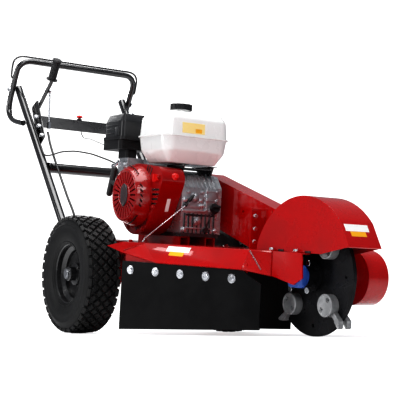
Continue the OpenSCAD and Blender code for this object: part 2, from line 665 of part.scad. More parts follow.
module tank_bracket() {
    color(BLACK) place() {
        for (y = [eng_right + 14, eng_left - 18]) {
            xz(y, 4) polygon([case_top[0], case_top[1],
                [crank_x + 135, tank_low - 1], [crank_x + 14, tank_low - 1]]);
            box(crank_x + 14, crank_x + 135, y - 14, y + 18, tank_low - 2, tank_low - fit_gap);
        }
        box(crank_x + 52, crank_x + 128, eng_right + 14, eng_left - 14, crank_z + 101, crank_z + 105);
    }
}
air_x0 = crank_x - 285;
air_x1 = crank_x - 135;
air_y0 = -150;
air_y1 = -20;
air_z = crank_z + 219;
module air_filter_cover() {
    color(BLACK) place() difference() {
        union() {
            hull() {
                rounded_box(air_x0 + 2, air_x1 - 2, air_y0 + 2, air_y1 - 2, air_z, air_z + 60, 14);
                rounded_box(air_x0 + 12, air_x1 - 12, air_y0 + 12, air_y1 - 12, air_z + 60, air_z + 86, 14);
            }
            translate([air_x1 - 50, air_y0 + 60, air_z + 80]) linear_extrude(14) circle(r = 10);
        }
        rounded_box(air_x0 + 6, air_x1 - 6, air_y0 + 6, air_y1 - 6, air_z - 1, air_z + 58, 12);
    }
}
module air_filter_base() {
    color(BLACK) place() {
        rounded_box(air_x0 - 3, air_x1 + 3, air_y0 - 3, air_y1 + 3, air_z - 12, air_z, 16);
        rounded_box(air_x0 - 8, air_x1 - 20, air_y0 + 2, air_y1 - 2, air_z - 46, air_z - 11, 14);
        rounded_box(carb_x - 62, carb_x + 8, air_y0 + 40, air_y1 - 44, air_z - 76, air_z - 46, 10);
    }
}
carb_x = crank_x - 178;
carb_z = crank_z + 104;
module carburettor() {
    color(GREY) place() difference() {
        union() {
            box(carb_x - 32, carb_x + 32, -116, eng_right - 2, carb_z - 26, air_z - 76);
            ycyl(carb_x, carb_z + 6, -126, 64, 22);
            translate([carb_x, -92, carb_z - 56]) linear_extrude(34) circle(r = 24);
        }
        ycyl(carb_x - 20, carb_z + 24, -130, 24, 3.05);
        ycyl(carb_x + 24, carb_z - 14, -130, 24, 3.05);
    }
}
module pivot_lever(x, z, y, len, turn) {
    ycyl(x, z, y - 4, 22, 3);
    translate([x, y - 4, z]) rotate([0, turn, 0]) {
        translate([-5, -2, -5]) cube([len, 4, 10]);
        translate([len - 4, 2, 0]) rotate([90, 0, 0]) linear_extrude(12) circle(r = 8);
    }
}
module choke_lever() { color(GREY) place() pivot_lever(carb_x - 20, carb_z + 24, -124, 34, 150); }
module throttle_lever() { color(STEEL) place() pivot_lever(carb_x + 24, carb_z - 14, -124, 50, 130); }
module muffler() {
    color("dimgray") place() {
        rounded_box(crank_x - 206, crank_x - 46, 8, 116, air_z - 26, air_z + 66, 18);
        translate([crank_x - 121, 50, crank_z + 142]) linear_extrude(air_z - 24 - crank_z - 142) circle(r = 17);
        translate([crank_x - 204, 62, air_z + 30]) rotate([0, -90, 0]) linear_extrude(24) circle(r = 14);
    }
}
module engine_switch() {
    color(BLACK) place() translate([crank_x + 134, -shroud_end - fit_gap, crank_z + 60]) {
        rotate([90, 0, 0]) linear_extrude(6) circle(r = 12);
        translate([-4, -16, -13]) cube([8, 12, 26]);
    }
}
module on_filler() { translate([crank_x + 120, eng_left - 26, crank_z - 60]) rotate([0, 60, 0]) children(); }
module dipstick() {
    color(BLACK) place() on_filler() {
        translate([0, 0, -6]) linear_extrude(60) circle(r = 10);
        translate([0, 0, 52]) linear_extrude(14) circle(r = 17);
        translate([-4, -15, 64]) cube([8, 30, 12]);
    }
}
// --- Handle -----------------------------------------------------------------------
foot_bolts = [for (k = [-10, 16]) let (p = foot + (top - foot) / tube_len * k) [p[0], p[2]]];
function along_tube(z) = foot + (top - foot) * (z - foot[2]) / (top[2] - foot[2]);
module handle_tube() {
    color(BLACK) place() rod([foot - (top - foot) / tube_len * 34, foot, top], tube_r, 24);
}
module right_handle_tube() { handle_tube(); }
module left_handle_tube() { left_side() handle_tube(); }
plate_w = 66;
plate_at = along_tube(592);
tube_lean = atan2(foot[0] - top[0], top[2] - foot[2]);
plate_edge = [plate_at[0] - plate_w / 2 * sin(tube_lean), plate_at[2] + plate_w / 2 * cos(tube_lean)];
bracket_in = -along_tube(480)[1] - tube_r - 4 - fit_gap;
module cross_plate() {
    color(BLACK) place() {
        difference() {
            translate([plate_at[0], 0, plate_at[2]]) rotate([0, -tube_lean, 0])
                translate([-2.5, -bracket_in, -plate_w / 2]) cube([5, bracket_in - plate_at[1] - 6, plate_w]);
            place_free(-1);
        }
        box(plate_edge[0] - 24, plate_edge[0] + 1, -206, 206, plate_edge[1] - 3, plate_edge[1]);
    }
}
cross_z = 392;
cross_r = 21;
cross_at = along_tube(cross_z);
module cross_tube() {
    color(BLACK) place() difference() {
        ycyl(cross_at[0] + 2, cross_z, cross_at[1] + tube_r - 3, -2 * cross_at[1] - 2 * tube_r + 6, cross_r);
        ycyl(cross_at[0] + 2, cross_z, cross_at[1], -2 * cross_at[1], cross_r - 3);
        for (s = [-1, 1]) place_free(s);
    }
}
module place_free(s) {
    scale([1, s, 1]) rod([foot - (top - foot) / tube_len * 34, foot, top], tube_r, 24);
}
bar_z = tube_top_z + 109;
bar_x = -tube_top_x + 66;
bar_y = tube_top_y + tube_r + bar_r + 0.5;
bar_low = along_tube(tube_top_z - 160);
bar_bend = [-tube_top_x - bar_back, tube_top_z - 88];
function bar_at(z) = bar_bend[0] + (bar_x - bar_bend[0]) * (z - bar_bend[1]) / (bar_z - bar_bend[1]);
bar_side = [[bar_low[0] - 4, bar_low[1] - tube_r - bar_r - fit_gap, bar_low[2]],
            [-tube_top_x + 18, -bar_y, tube_top_z - 140], [bar_bend[0], -bar_y, bar_bend[1]],
            [bar_x, -bar_y, bar_z]];
function flip(p) = [p[0], -p[1], p[2]];
bar_path = concat(bar_side, [for (i = [len(bar_side) - 1 : -1 : 0]) flip(bar_side[i])]);
rear_x = min([for (p = smooth(bar_path, 60, 6)) on_ground(p)[0]]) - bar_r;
front_x = max([for (p = hood_line(0)) on_ground([p[0], 0, p[1]])[0]]);
mid_x = (front_x + rear_x) / 2;
module grab_bar() { color(BLACK) place() rod(smooth(bar_path, 60, 6), bar_r, 16); }
module handle_bolts() {
    color(STEEL) place() for (s = [-1, 1]) scale([1, s, 1]) {
        for (p = foot_bolts) translate([p[0], -tube_foot_y - tube_r - 0.45, p[1]]) rotate([90, 0, 0]) bolt(5, 0);
        translate([bar_at(tube_top_z - 10), -bar_y - bar_r - 0.1, tube_top_z - 10]) rotate([90, 0, 0]) bolt(5, 0);
    }
    color(STEEL) place() for (z = [588, 548, 508])
        translate(along_tube(z) * [[1, 0, 0], [0, 0, 0], [0, 0, 1]] + [20, -bracket_in - 4, 18]) rotate([90, 0, 0]) bolt(5, 0);
}
// Bail rod: it follows the bar a little behind and above it, and turns on two brackets.
bail_pin = [bar_at(tube_top_z + 38), tube_top_z + 38];
bail_y = bar_y + bar_r + bail_r + 3;
bail_side = [[bail_pin[0], -bar_y - bar_r - fit_gap, bail_pin[1]], [bail_pin[0], -bail_y, bail_pin[1]],
             [bar_x - 16, -bail_y, bar_z + 20]];
bail_path = concat(bail_side, [for (i = [len(bail_side) - 1 : -1 : 0]) flip(bail_side[i])]);
module bail() { color(BLACK) place() rod(smooth(bail_path, 52, 6), bail_r, 12); }
lever_pin = [-722, 10 - bracket_in, 632];
module on_lever() { translate(lever_pin) children(); }
module lever_bracket() {
    color(BLACK) place() difference() {
        hull() {
            for (p = [[-690, 662], [lever_pin[0] - 6, 644], [-640, 496], [-606, 522]])
                translate([p[0], -bracket_in - 4, p[1]]) rotate([-90, 0, 0]) linear_extrude(4)
                    circle(r = 12, $fn = 32);
        }
        ycyl(lever_pin[0], lever_pin[2], -230, 20, 6.05);
    }
}
lever_bend = [132, 0, 106];
lever_end = [182, 0, 192];
module brake_lever() {
    color(BLACK) place() on_lever() {
        ycyl(0, 0, -15, 19, 6);
        ycyl(0, 0, -10 + fit_gap, 14 - fit_gap, 13);
        rod([[0, 0, 0], lever_bend, lever_end], 8, 12);
    }
}
module lever_grip() {
    color(BLACK) place() on_lever() translate(lever_bend) rotate([0, atan2(50, 86), 0]) difference() {
        union() {
            translate([0, 0, 14]) linear_extrude(4) circle(r = 23);
            for (i = [0 : 5]) translate([0, 0, 20 + i * 12]) linear_extrude(10) circle(r = 16);
            translate([0, 0, 16]) linear_extrude(82) circle(r = 14);
            translate([0, 0, 94]) linear_extrude(10) circle(r = 19);
        }
        translate([0, 0, -1]) linear_extrude(101.5) circle(r = 8.4);
    }
}
link_pin = [lever_pin[0] + 96, lever_pin[1] + 12, lever_pin[2] + 77];
link_len = 132;
link_end = [link_pin[0] + 14, link_pin[1], link_pin[2] - link_len];
module brake_link() {
    color(STEEL) place() {
        ycyl(link_pin[0], link_pin[2], link_pin[1] - 3.5, 8, 9);
        rod([link_pin, link_end], 4, 12);
        translate([link_end[0] - 7, link_end[1] - 5, link_end[2] - 22]) cube([14, 10, 26]);
    }
}
// Cords held along their whole length.
brake_route = [[-612, -200, 540], [-596, -201, 520], [-580, -204, 500], [-545, -206, 462], [-500, -206, 410],
               [-440, -205, 345], [-380, -203, 277], [-330, -200, 225], [-300, -197, 180], [-290, -190, 150],
               [-290, -188, 122.9]];
module brake_cable() { color(BLACK) place() rod(smooth(brake_route, 14, 2), 4.5, 10); }
throttle_route = [[-795, -246, 715], [-729, -244, 640], [-585, -239, 477], [-550, -236, 438], [-526, -218, 441],
                  [-480, -194, 456], [-400, -170, 457], [-300, -150, 444], [-200, -124, 418], [-131.2, -100, 392]];
module throttle_cable() { color(BLACK) place() rod(smooth(throttle_route, 24, 3), 3, 8); }
stop_route = [[-748, 10, 588], [-748, 12, 562], [-716, 12, 542], [-660, 0, 538], [-600, -14, 530], [-500, -32, 512],
              [-400, -46, 492], [-310, -58, 478], [-255, -62, 471], [-213.2, -62, 470]];
module stop_wire() { color(BLACK) place() rod(smooth(stop_route, 20, 3), 2, 8); }
stop_at = [plate_edge[0] - 12, 0, plate_edge[1]];
module stop_switch() {
    color(BLACK) place() translate(stop_at) {
        difference() {
            translate([0, 0, 0]) linear_extrude(8) circle(r = 11);
            translate([0, 0, 1]) linear_extrude(12) circle(r = 6.3);
        }
        translate([-9, -16, -28.8]) cube([18, 32, 25.8]);
    }
}
module stop_button() {
    color("red") place() translate(stop_at) {
        translate([0, 0, 5]) linear_extrude(9) circle(r = 6);
        translate([0, 0, 13.5]) rotate_extrude() polygon([[0, 0], [12, 0], [13.5, 3], [12, 7], [7, 10], [0, 11]]);
    }
}

deck();
engine_rails();
hood();
cover_bolts();
guard_back();
guard_cover();
right_flap();
left_flap();
flap_bolts();
axle();
right_handle_tube();
left_handle_tube();
cross_plate();
cross_tube();
grab_bar();
handle_bolts();
lever_bracket();
brake_cable();
throttle_cable();
stop_wire();
stop_switch();
bearing_housings();
crankcase();
side_cover();
cylinder_block();
rocker_cover();
fan_shroud();
recoil_cover();
fuel_tank();
tank_bracket();
air_filter_cover();
air_filter_base();
carburettor();
muffler();
spark_plug();
drive_belt();
right_tyre();
right_rim();
left_tyre();
left_rim();
cutter_disc();
cutter_shaft();
cutter_hub();
tooth_pockets();
cutter_teeth();
driven_pulley();
crankshaft();
flywheel();
drive_pulley();
bail();
brake_lever();
lever_grip();
brake_link();
stop_button();
starter_grip();
choke_lever();
throttle_lever();
fuel_cap();
dipstick();
engine_switch();
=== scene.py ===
"""Walk-behind stump grinder: the looks of its pieces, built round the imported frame."""
import json
import math

import bmesh
import bpy
from bpy.props import FloatProperty, FloatVectorProperty, IntProperty, PointerProperty
from mathutils import Matrix, Vector


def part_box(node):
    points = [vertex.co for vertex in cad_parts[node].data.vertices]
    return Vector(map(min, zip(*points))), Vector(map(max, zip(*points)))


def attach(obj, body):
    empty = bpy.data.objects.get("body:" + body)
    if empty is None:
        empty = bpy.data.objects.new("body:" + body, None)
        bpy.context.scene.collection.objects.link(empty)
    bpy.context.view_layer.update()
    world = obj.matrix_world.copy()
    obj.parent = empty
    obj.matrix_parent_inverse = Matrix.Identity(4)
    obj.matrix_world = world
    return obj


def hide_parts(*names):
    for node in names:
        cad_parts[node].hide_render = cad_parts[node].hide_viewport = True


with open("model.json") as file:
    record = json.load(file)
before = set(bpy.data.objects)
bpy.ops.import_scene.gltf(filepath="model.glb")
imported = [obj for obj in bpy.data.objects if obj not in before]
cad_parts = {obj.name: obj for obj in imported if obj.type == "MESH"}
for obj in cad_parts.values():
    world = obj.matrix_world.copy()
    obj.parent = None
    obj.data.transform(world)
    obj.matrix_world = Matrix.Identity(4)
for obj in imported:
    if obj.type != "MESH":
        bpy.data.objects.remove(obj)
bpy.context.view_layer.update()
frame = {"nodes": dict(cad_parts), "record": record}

bl_info = {
    "name": "Stump Grinder",
    "version": (1, 0, 0),
    "blender": (4, 5, 0),
    "location": "3D View > Sidebar > Grinder",
    "description": "Builds the pieces, finishes and studio of a walk-behind stump grinder",
    "category": "Object",
}

RECORD = frame["record"]
BODY_OF = {node: body for body, nodes in RECORD["behaviour"]["bodies"].items() for node in nodes}

# The machine stands nose down on its cutter. Its own axes start at the axle, in
# millimetres: X forward along the deck, Y to the left, Z square to the deck.
RIM_LOW, RIM_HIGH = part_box("right_rim")
AXLE = Vector(((RIM_LOW[0] + RIM_HIGH[0]) / 2, 0, (RIM_LOW[2] + RIM_HIGH[2]) / 2))
TIP = math.radians(5.740082)
PLACE = (Matrix.Translation(AXLE) @ Matrix.Rotation(TIP, 4, "Y")
         @ Matrix.Diagonal((0.001, 0.001, 0.001, 1)))
DECK_Z = 122.5
CRANK = Vector((80, 0, 281))
CUTTER = Vector((897, 0, 57))
CUTTER_TURN = -48               # the first pocket's place on the disc, in degrees
WHEEL_Y = 312                   # each wheel's middle from the machine's own
TYRE_R = 203
LEVER_PIN = Vector((-722, -208.768, 632))
TANK_DROP = 92                  # depth of the tank below its seam
TANK_SEAM = 489
EYE = (3.091236, -1.785048, 0.053266)       # camera, in metres from the axle and the floor
EYE_TURN, EYE_RISE = math.radians(57.5545), math.radians(6.8372)


# ---------------------------------------------------------------- sizes and colours
def colour_setting(name, text, value):
    """A colour setting."""
    return FloatVectorProperty(name=name, description=text, subtype="COLOR", size=3, min=0, max=1,
                               default=value)


class PaintSettings(bpy.types.PropertyGroup):
    """Colours of the painted and moulded pieces."""
    deck_red: colour_setting("Deck red", "Gloss paint of the deck, hood and guard", (0.43, 0.0012, 0.0018))
    engine_red: colour_setting("Engine red", "Enamel of the starter and fan shroud", (0.34, 0.0010, 0.0014))
    frame_black: colour_setting("Frame black", "Gloss paint of the handle frame", (0.008, 0.008, 0.009))
    tank_white: colour_setting("Tank white", "Enamel of the fuel tank", (0.80, 0.80, 0.79))
    bearing_blue: colour_setting("Bearing blue", "Paint of the cutter bearings", (0.02, 0.07, 0.30))
    button_red: colour_setting("Button red", "Moulded stop button", (0.70, 0.012, 0.01))


class WheelSettings(bpy.types.PropertyGroup):
    """Sizes of the tyre tread and the wheel."""
    lugs: IntProperty(name="Lugs per row", description="Tread blocks in each row round the tyre",
                      min=24, max=48, default=36)
    lug_height: FloatProperty(name="Lug height", description="How far a tread block stands out",
                              subtype="DISTANCE", unit="LENGTH", min=0.004, max=0.012, default=0.0085)


class TrimSettings(bpy.types.PropertyGroup):
    """Sizes of small trim and edge rounding."""
    edge: FloatProperty(name="Edge rounding", description="Rounding of folded and cut plate edges",
                        subtype="DISTANCE", unit="LENGTH", min=0.0002, max=0.003, default=0.0012)
    grip_ribs: IntProperty(name="Grip ribs", description="Ribs along the brake lever's grip",
                           min=6, max=24, default=14)
    fins: IntProperty(name="Cooling fins", description="Fins on the engine's cylinder",
                      min=4, max=10, default=6)


class StudioSettings(bpy.types.PropertyGroup):
    """Camera and light of the studio."""
    focal: FloatProperty(name="Focal length", description="Lens, for a sensor 36 mm wide",
                         min=20, max=200, default=88.32)
    key_power: FloatProperty(name="Key light", description="Power of the large light overhead",
                             subtype="POWER", unit="POWER", min=0, max=2000, default=105)
    floor: colour_setting("Floor", "Colour of the plain floor", (0.93, 0.93, 0.935))


# ---------------------------------------------------------------- shader node groups
def node_group(name, inputs, outputs):
    """An empty shader group with its sockets and its two end nodes."""
    tree = bpy.data.node_groups.new(name, "ShaderNodeTree")
    for label, kind, value in inputs:
        socket = tree.interface.new_socket(label, in_out="INPUT", socket_type=kind)
        socket.default_value = value
    for label, kind in outputs:
        tree.interface.new_socket(label, in_out="OUTPUT", socket_type=kind)
    return tree, tree.nodes.new("NodeGroupInput"), tree.nodes.new("NodeGroupOutput")


def feed(tree, node, values):
    """Links or sets a node's inputs, by label or number."""
    for label, value in values.items():
        if isinstance(value, bpy.types.NodeSocket):
            tree.links.new(value, node.inputs[label])
        elif value is not None:
            node.inputs[label].default_value = value
    return node


def maths(tree, operation, first, second=None, clamp=False):
    """A Math node fed by sockets or plain numbers; gives its output."""
    node = tree.nodes.new("ShaderNodeMath")
    node.operation = operation
    node.use_clamp = clamp
    return feed(tree, node, {0: first, 1: second}).outputs[0]


def spread(tree, value, low, high, to_low=0.0, to_high=1.0):
    """A Map Range node with smooth ends; gives its output."""
    node = tree.nodes.new("ShaderNodeMapRange")
    node.interpolation_type = "SMOOTHSTEP"
    ends = {"Value": value, "From Min": low, "From Max": high, "To Min": to_low, "To Max": to_high}
    return feed(tree, node, ends).outputs["Result"]


def mixed(tree, amount, first, second):
    """A colour mixed from two; gives its output."""
    node = tree.nodes.new("ShaderNodeMix")
    node.data_type = "RGBA"
    return feed(tree, node, {0: amount, 6: first, 7: second}).outputs[2]


def object_point(tree, stretch=None):
    """Object coordinates, stretched by a vector socket where one is given."""
    point = tree.nodes.new("ShaderNodeTexCoord").outputs["Object"]
    if stretch is None:
        return point
    node = tree.nodes.new("ShaderNodeVectorMath")
    node.operation = "MULTIPLY"
    return feed(tree, node, {0: point, 1: stretch}).outputs[0]


def noise(tree, point, scale, detail=4.0, rough=0.55):
    """A noise value over the given point."""
    node = tree.nodes.new("ShaderNodeTexNoise")
    values = {"Vector": point, "Scale": scale, "Detail": detail, "Roughness": rough}
    return feed(tree, node, values).outputs[0]


def make_groups():
    """The effects that more than one finish uses."""
    groups = {}
    # Fine surface height: paint's orange peel, moulded texture, brushed steel.
    tree, enter, leave = node_group("Fine Grain", [("Scale", "NodeSocketFloat", 300.0),
        ("Detail", "NodeSocketFloat", 3.0), ("Stretch", "NodeSocketVector", (1.0, 1.0, 1.0))],
        [("Height", "NodeSocketFloat")])
    height = noise(tree, object_point(tree, enter.outputs["Stretch"]), enter.outputs["Scale"],
                   enter.outputs["Detail"], 0.6)
    tree.links.new(height, leave.inputs["Height"])
    groups["grain"] = tree
    # Sand-cast skin: round pits in a coarse swell.
    tree, enter, leave = node_group("Cast Skin", [("Scale", "NodeSocketFloat", 420.0)],
        [("Height", "NodeSocketFloat"), ("Pits", "NodeSocketFloat")])
    point = object_point(tree)
    cell = tree.nodes.new("ShaderNodeTexVoronoi")
    cell.feature = "SMOOTH_F1"
    feed(tree, cell, {"Vector": point, "Scale": enter.outputs["Scale"]})
    pits = spread(tree, cell.outputs["Distance"], 0.15, 0.75)
    swell = noise(tree, point, 60.0, 3.0)
    tree.links.new(maths(tree, "ADD", maths(tree, "MULTIPLY", pits, 0.5), swell), leave.inputs["Height"])
    tree.links.new(pits, leave.inputs["Pits"])
    groups["cast"] = tree
    # Slow change of colour between two shades.
    tree, enter, leave = node_group("Shade Drift", [("First", "NodeSocketColor", (0.5, 0.5, 0.5, 1)),
        ("Second", "NodeSocketColor", (0.4, 0.4, 0.4, 1)), ("Scale", "NodeSocketFloat", 6.0)],
        [("Colour", "NodeSocketColor"), ("Drift", "NodeSocketFloat")])
    drift = spread(tree, noise(tree, object_point(tree), enter.outputs["Scale"], 5.0), 0.36, 0.66)
    colour = mixed(tree, drift, enter.outputs["First"], enter.outputs["Second"])
    tree.links.new(colour, leave.inputs["Colour"])
    tree.links.new(drift, leave.inputs["Drift"])
    groups["drift"] = tree
    # Dust thrown up from the ground: thick at the floor, gone above its reach.
    tree, enter, leave = node_group("Ground Dust", [("Reach", "NodeSocketFloat", 0.3),
        ("Amount", "NodeSocketFloat", 0.5)], [("Mask", "NodeSocketFloat")])
    point = object_point(tree)
    split = tree.nodes.new("ShaderNodeSeparateXYZ")
    tree.links.new(point, split.inputs[0])
    low = spread(tree, split.outputs["Z"], enter.outputs["Reach"], 0.0)
    speck = spread(tree, noise(tree, point, 38.0, 8.0, 0.7), 0.42, 0.72)
    mask = maths(tree, "MULTIPLY", maths(tree, "MULTIPLY", low, speck), enter.outputs["Amount"], True)
    tree.links.new(mask, leave.inputs["Mask"])
    groups["dust"] = tree
    # Short hairline scratches.
    tree, enter, leave = node_group("Hairlines", [("Scale", "NodeSocketFloat", 30.0),
        ("Amount", "NodeSocketFloat", 0.3)], [("Mask", "NodeSocketFloat")])
    stretch = feed(tree, tree.nodes.new("ShaderNodeCombineXYZ"), {"X": 0.35, "Y": 1.0, "Z": 2.2})
    point = object_point(tree, stretch.outputs[0])
    line = tree.nodes.new("ShaderNodeTexVoronoi")
    line.feature = "DISTANCE_TO_EDGE"
    feed(tree, line, {"Vector": point, "Scale": enter.outputs["Scale"]})
    thin = spread(tree, line.outputs["Distance"], 0.02, 0.0)
    patch = spread(tree, noise(tree, point, 9.0, 3.0), 0.5, 0.7)
    mask = maths(tree, "MULTIPLY", maths(tree, "MULTIPLY", thin, patch), enter.outputs["Amount"], True)
    tree.links.new(mask, leave.inputs["Mask"])
    groups["hairlines"] = tree
    return groups


def place_group(tree, groups, key, **values):
    """One of the shared effects, with its own values."""
    node = tree.nodes.new("ShaderNodeGroup")
    node.node_tree = groups[key]
    return feed(tree, node, values)


def finish(groups, name, first, second=None, rough=0.4, rough_swing=0.08, metal=0.0, coat=0.0,
           coat_rough=0.04, specular=0.5, grain=(300.0, 3.0), stretch=(1, 1, 1), depth=0.00005, cast=None,
           drift=7.0, dust=0.0, reach=0.3, dust_colour=(0.30, 0.24, 0.18), lines=0.0, sheen=0.0):
    """A finish built from the shared effects. Lengths are in metres."""
    material = bpy.data.materials.new(name)
    material.use_nodes = True
    tree = material.node_tree
    shader = tree.nodes["Principled BSDF"]
    second = second or tuple(c * 0.82 for c in first)
    shade = place_group(tree, groups, "drift", First=(*first, 1), Second=(*second, 1), Scale=drift)
    colour = shade.outputs["Colour"]
    rough_value = spread(tree, shade.outputs["Drift"], 0.0, 1.0, rough - rough_swing / 2,
                         rough + rough_swing / 2)
    for key, amount in (("dust", dust), ("hairlines", lines)):
        if not amount:
            continue
        values, over = {"Amount": amount}, [min(1, c * 1.6 + 0.06) for c in first]
        if key == "dust":
            values["Reach"], over = reach, dust_colour
        mask = place_group(tree, groups, key, **values).outputs["Mask"]
        colour = mixed(tree, mask, colour, (*over, 1))
        rough_value = maths(tree, "ADD", rough_value, maths(tree, "MULTIPLY", mask, 0.35), True)
    if cast:
        height = place_group(tree, groups, "cast", Scale=cast).outputs["Height"]
    else:
        height = place_group(tree, groups, "grain", Scale=grain[0], Detail=grain[1],
                             Stretch=stretch).outputs["Height"]
    bump = feed(tree, tree.nodes.new("ShaderNodeBump"),
                {"Strength": 1.0, "Distance": depth, "Height": height})
    feed(tree, shader, {"Base Color": colour, "Roughness": rough_value, "Normal": bump.outputs["Normal"],
                        "Metallic": metal, "Coat Weight": coat, "Coat Roughness": coat_rough,
                        "Specular IOR Level": specular, "Sheen Weight": sheen})
    return material


FINISH = {}


def make_finishes(paint):
    """All finishes of the machine, by plain name."""
    g = make_groups()
    f = FINISH
    f["deck_red"] = finish(g, "Deck red gloss", tuple(paint.deck_red), rough=0.30, coat=0.8,
                           coat_rough=0.03, specular=0.2, grain=(70, 2), depth=0.00003, lines=0.04)
    f["engine_red"] = finish(g, "Engine red enamel", tuple(paint.engine_red), rough=0.32, coat=0.8,
                             coat_rough=0.05, specular=0.2, grain=(120, 3), depth=0.00004)
    f["frame_black"] = finish(g, "Frame black gloss", tuple(paint.frame_black), (0.014, 0.014, 0.015),
                              rough=0.30, coat=0.9, coat_rough=0.05, grain=(110, 2), depth=0.00005,
                              lines=0.05)
    f["wheel_black"] = finish(g, "Wheel black enamel", (0.010, 0.010, 0.011), (0.02, 0.02, 0.021),
                              rough=0.35, coat=0.6, coat_rough=0.12, grain=(140, 3), depth=0.00008,
                              dust=0.08, reach=0.25, dust_colour=(0.12, 0.11, 0.10))
    f["tank_white"] = finish(g, "Tank white enamel", tuple(paint.tank_white), (0.76, 0.76, 0.75),
                             rough=0.30, coat=0.8, coat_rough=0.05, grain=(90, 2), depth=0.00005)
    f["bearing_blue"] = finish(g, "Bearing blue", tuple(paint.bearing_blue), rough=0.4, coat=0.4,
                               cast=260, depth=0.00015)
    f["button_red"] = finish(g, "Moulded red", tuple(paint.button_red), rough=0.32, grain=(500, 2),
                             depth=0.00002)
    f["cast_alloy"] = finish(g, "Cast alloy", (0.60, 0.61, 0.63), (0.40, 0.41, 0.43), rough=0.34,
                             rough_swing=0.16, metal=0.85, cast=330, depth=0.00028, drift=11)
    f["dark_alloy"] = finish(g, "Dark cast alloy", (0.11, 0.112, 0.12), (0.045, 0.046, 0.05), rough=0.34,
                             rough_swing=0.14, metal=0.7, cast=300, depth=0.0003, drift=14)
    f["machined"] = finish(g, "Machined steel", (0.52, 0.53, 0.55), (0.42, 0.43, 0.45), rough=0.28,
                           metal=1.0, grain=(90, 2), stretch=(1, 14, 1), depth=0.00004, drift=20)
    f["zinc"] = finish(g, "Bright zinc plate", (0.74, 0.75, 0.77), (0.60, 0.61, 0.64), rough=0.22,
                       rough_swing=0.14, metal=1.0, grain=(420, 3), depth=0.00004, drift=40)
    f["chrome"] = finish(g, "Chrome plate", (0.80, 0.81, 0.83), (0.72, 0.73, 0.76), rough=0.09,
                         rough_swing=0.05, metal=1.0, grain=(200, 2), depth=0.00001)
    f["dark_steel"] = finish(g, "Dark cutter steel", (0.020, 0.020, 0.022), (0.009, 0.009, 0.010),
                             rough=0.34, rough_swing=0.16, metal=0.2, specular=0.25, grain=(160, 4),
                             depth=0.00012, drift=18, lines=0.3)
    f["pocket_steel"] = finish(g, "Pocket steel", (0.40, 0.405, 0.41), (0.27, 0.275, 0.28), rough=0.46,
                               rough_swing=0.14, metal=0.55, grain=(140, 4), depth=0.0001, drift=28,
                               lines=0.25)
    f["carbide"] = finish(g, "Carbide tip", (0.50, 0.50, 0.50), (0.36, 0.36, 0.37), rough=0.42,
                          metal=0.7, grain=(600, 3), depth=0.00008, drift=60)
    f["tread_rubber"] = finish(g, "Tread rubber", (0.012, 0.012, 0.0125), (0.022, 0.0215, 0.021),
                               rough=0.50, rough_swing=0.16, specular=0.3, grain=(260, 5), depth=0.0002,
                               drift=24, dust=0.14, reach=0.20, dust_colour=(0.12, 0.11, 0.10))
    f["flap_rubber"] = finish(g, "Flap rubber", (0.0045, 0.0045, 0.005), (0.009, 0.009, 0.0095),
                              rough=0.40, specular=0.12, rough_swing=0.12, grain=(90, 4),
                              stretch=(1, 1, 0.3), depth=0.00012, drift=9, dust=0.05, reach=0.06,
                              dust_colour=(0.10, 0.09, 0.08))
    f["grip_rubber"] = finish(g, "Grip rubber", (0.013, 0.013, 0.014), (0.022, 0.022, 0.023), rough=0.52,
                              grain=(700, 3), depth=0.00006, sheen=0.05)
    f["cable_black"] = finish(g, "Cable sleeve", (0.011, 0.011, 0.012), (0.019, 0.019, 0.020),
                              rough=0.38, grain=(420, 2), depth=0.00004)
    # The moulded black also serves as painted shade: the black blocks that stand in for dark slot openings
    # use it.
    f["moulded_black_and_slot_shade"] = finish(g, "Moulded black and painted slot shade", (0.016, 0.016, 0.017), (0.024, 0.024, 0.026),
                                rough=0.42, rough_swing=0.1, specular=0.3, cast=900, depth=0.00009)
    f["charcoal"] = finish(g, "Charcoal moulding", (0.020, 0.0205, 0.022), (0.030, 0.0305, 0.033),
                           rough=0.36, rough_swing=0.1, specular=0.3, cast=760, depth=0.0001, coat=0.25,
                           coat_rough=0.2)
    f["stained_steel"] = finish(g, "Heat stained steel", (0.30, 0.27, 0.24), (0.11, 0.10, 0.105),
                                rough=0.45, rough_swing=0.2, metal=0.85, grain=(120, 5), depth=0.00012,
                                drift=16)
    f["belt_rubber"] = finish(g, "Belt rubber", (0.018, 0.018, 0.018), (0.030, 0.030, 0.030), rough=0.62,
                              grain=(500, 3), depth=0.0001)
    # Painted shade: a darker copy of the tread rubber, for the carcass between the tread blocks, so the
    # grooves look shaded.
    f["groove_shade_rubber"] = finish(g, "Tyre rubber with painted groove shade", (0.007, 0.007, 0.0075), (0.012, 0.012, 0.012),
                                rough=0.55, specular=0.3, grain=(260, 5), depth=0.0002, drift=24)
    for key, first, second in (("white", (0.86, 0.85, 0.83), (0.80, 0.79, 0.77)),
                               ("cream", (0.90, 0.74, 0.33), (0.86, 0.66, 0.26)),
                               ("amber", (0.86, 0.42, 0.02), (0.80, 0.37, 0.02))):
        f["plate_" + key] = finish(g, "Blank plate " + key, first, second, rough=0.34,
                                   grain=(400, 2), depth=0.00001)
    f["badge"] = finish(g, "Badge smoke", (0.035, 0.020, 0.022), (0.055, 0.03, 0.032), rough=0.3,
                        coat=0.6, grain=(400, 2), depth=0.00002)


# ---------------------------------------------------------------- shaping helpers
def as_shape(bm, material=0):
    """A bmesh turned into a loose mesh that can be stamped into a piece."""
    for face in bm.faces:
        face.material_index = material
    mesh = bpy.data.meshes.new("shape")
    bm.to_mesh(mesh)
    bm.free()
    return mesh


def stamp(bm, shape, matrix=None):
    """Adds a copy of a shape to a piece."""
    start = len(bm.verts)
    bm.from_mesh(shape)
    bm.verts.ensure_lookup_table()
    if matrix is not None:
        bmesh.ops.transform(bm, matrix=matrix, verts=bm.verts[start:])


def round_edges(bm, edges, width, segments=2):
    """Bevels the given edges."""
    bmesh.ops.bevel(bm, geom=list(edges), offset=width, offset_type="OFFSET", segments=segments,
                    profile=0.5, affect="EDGES", material=-1, clamp_overlap=True)


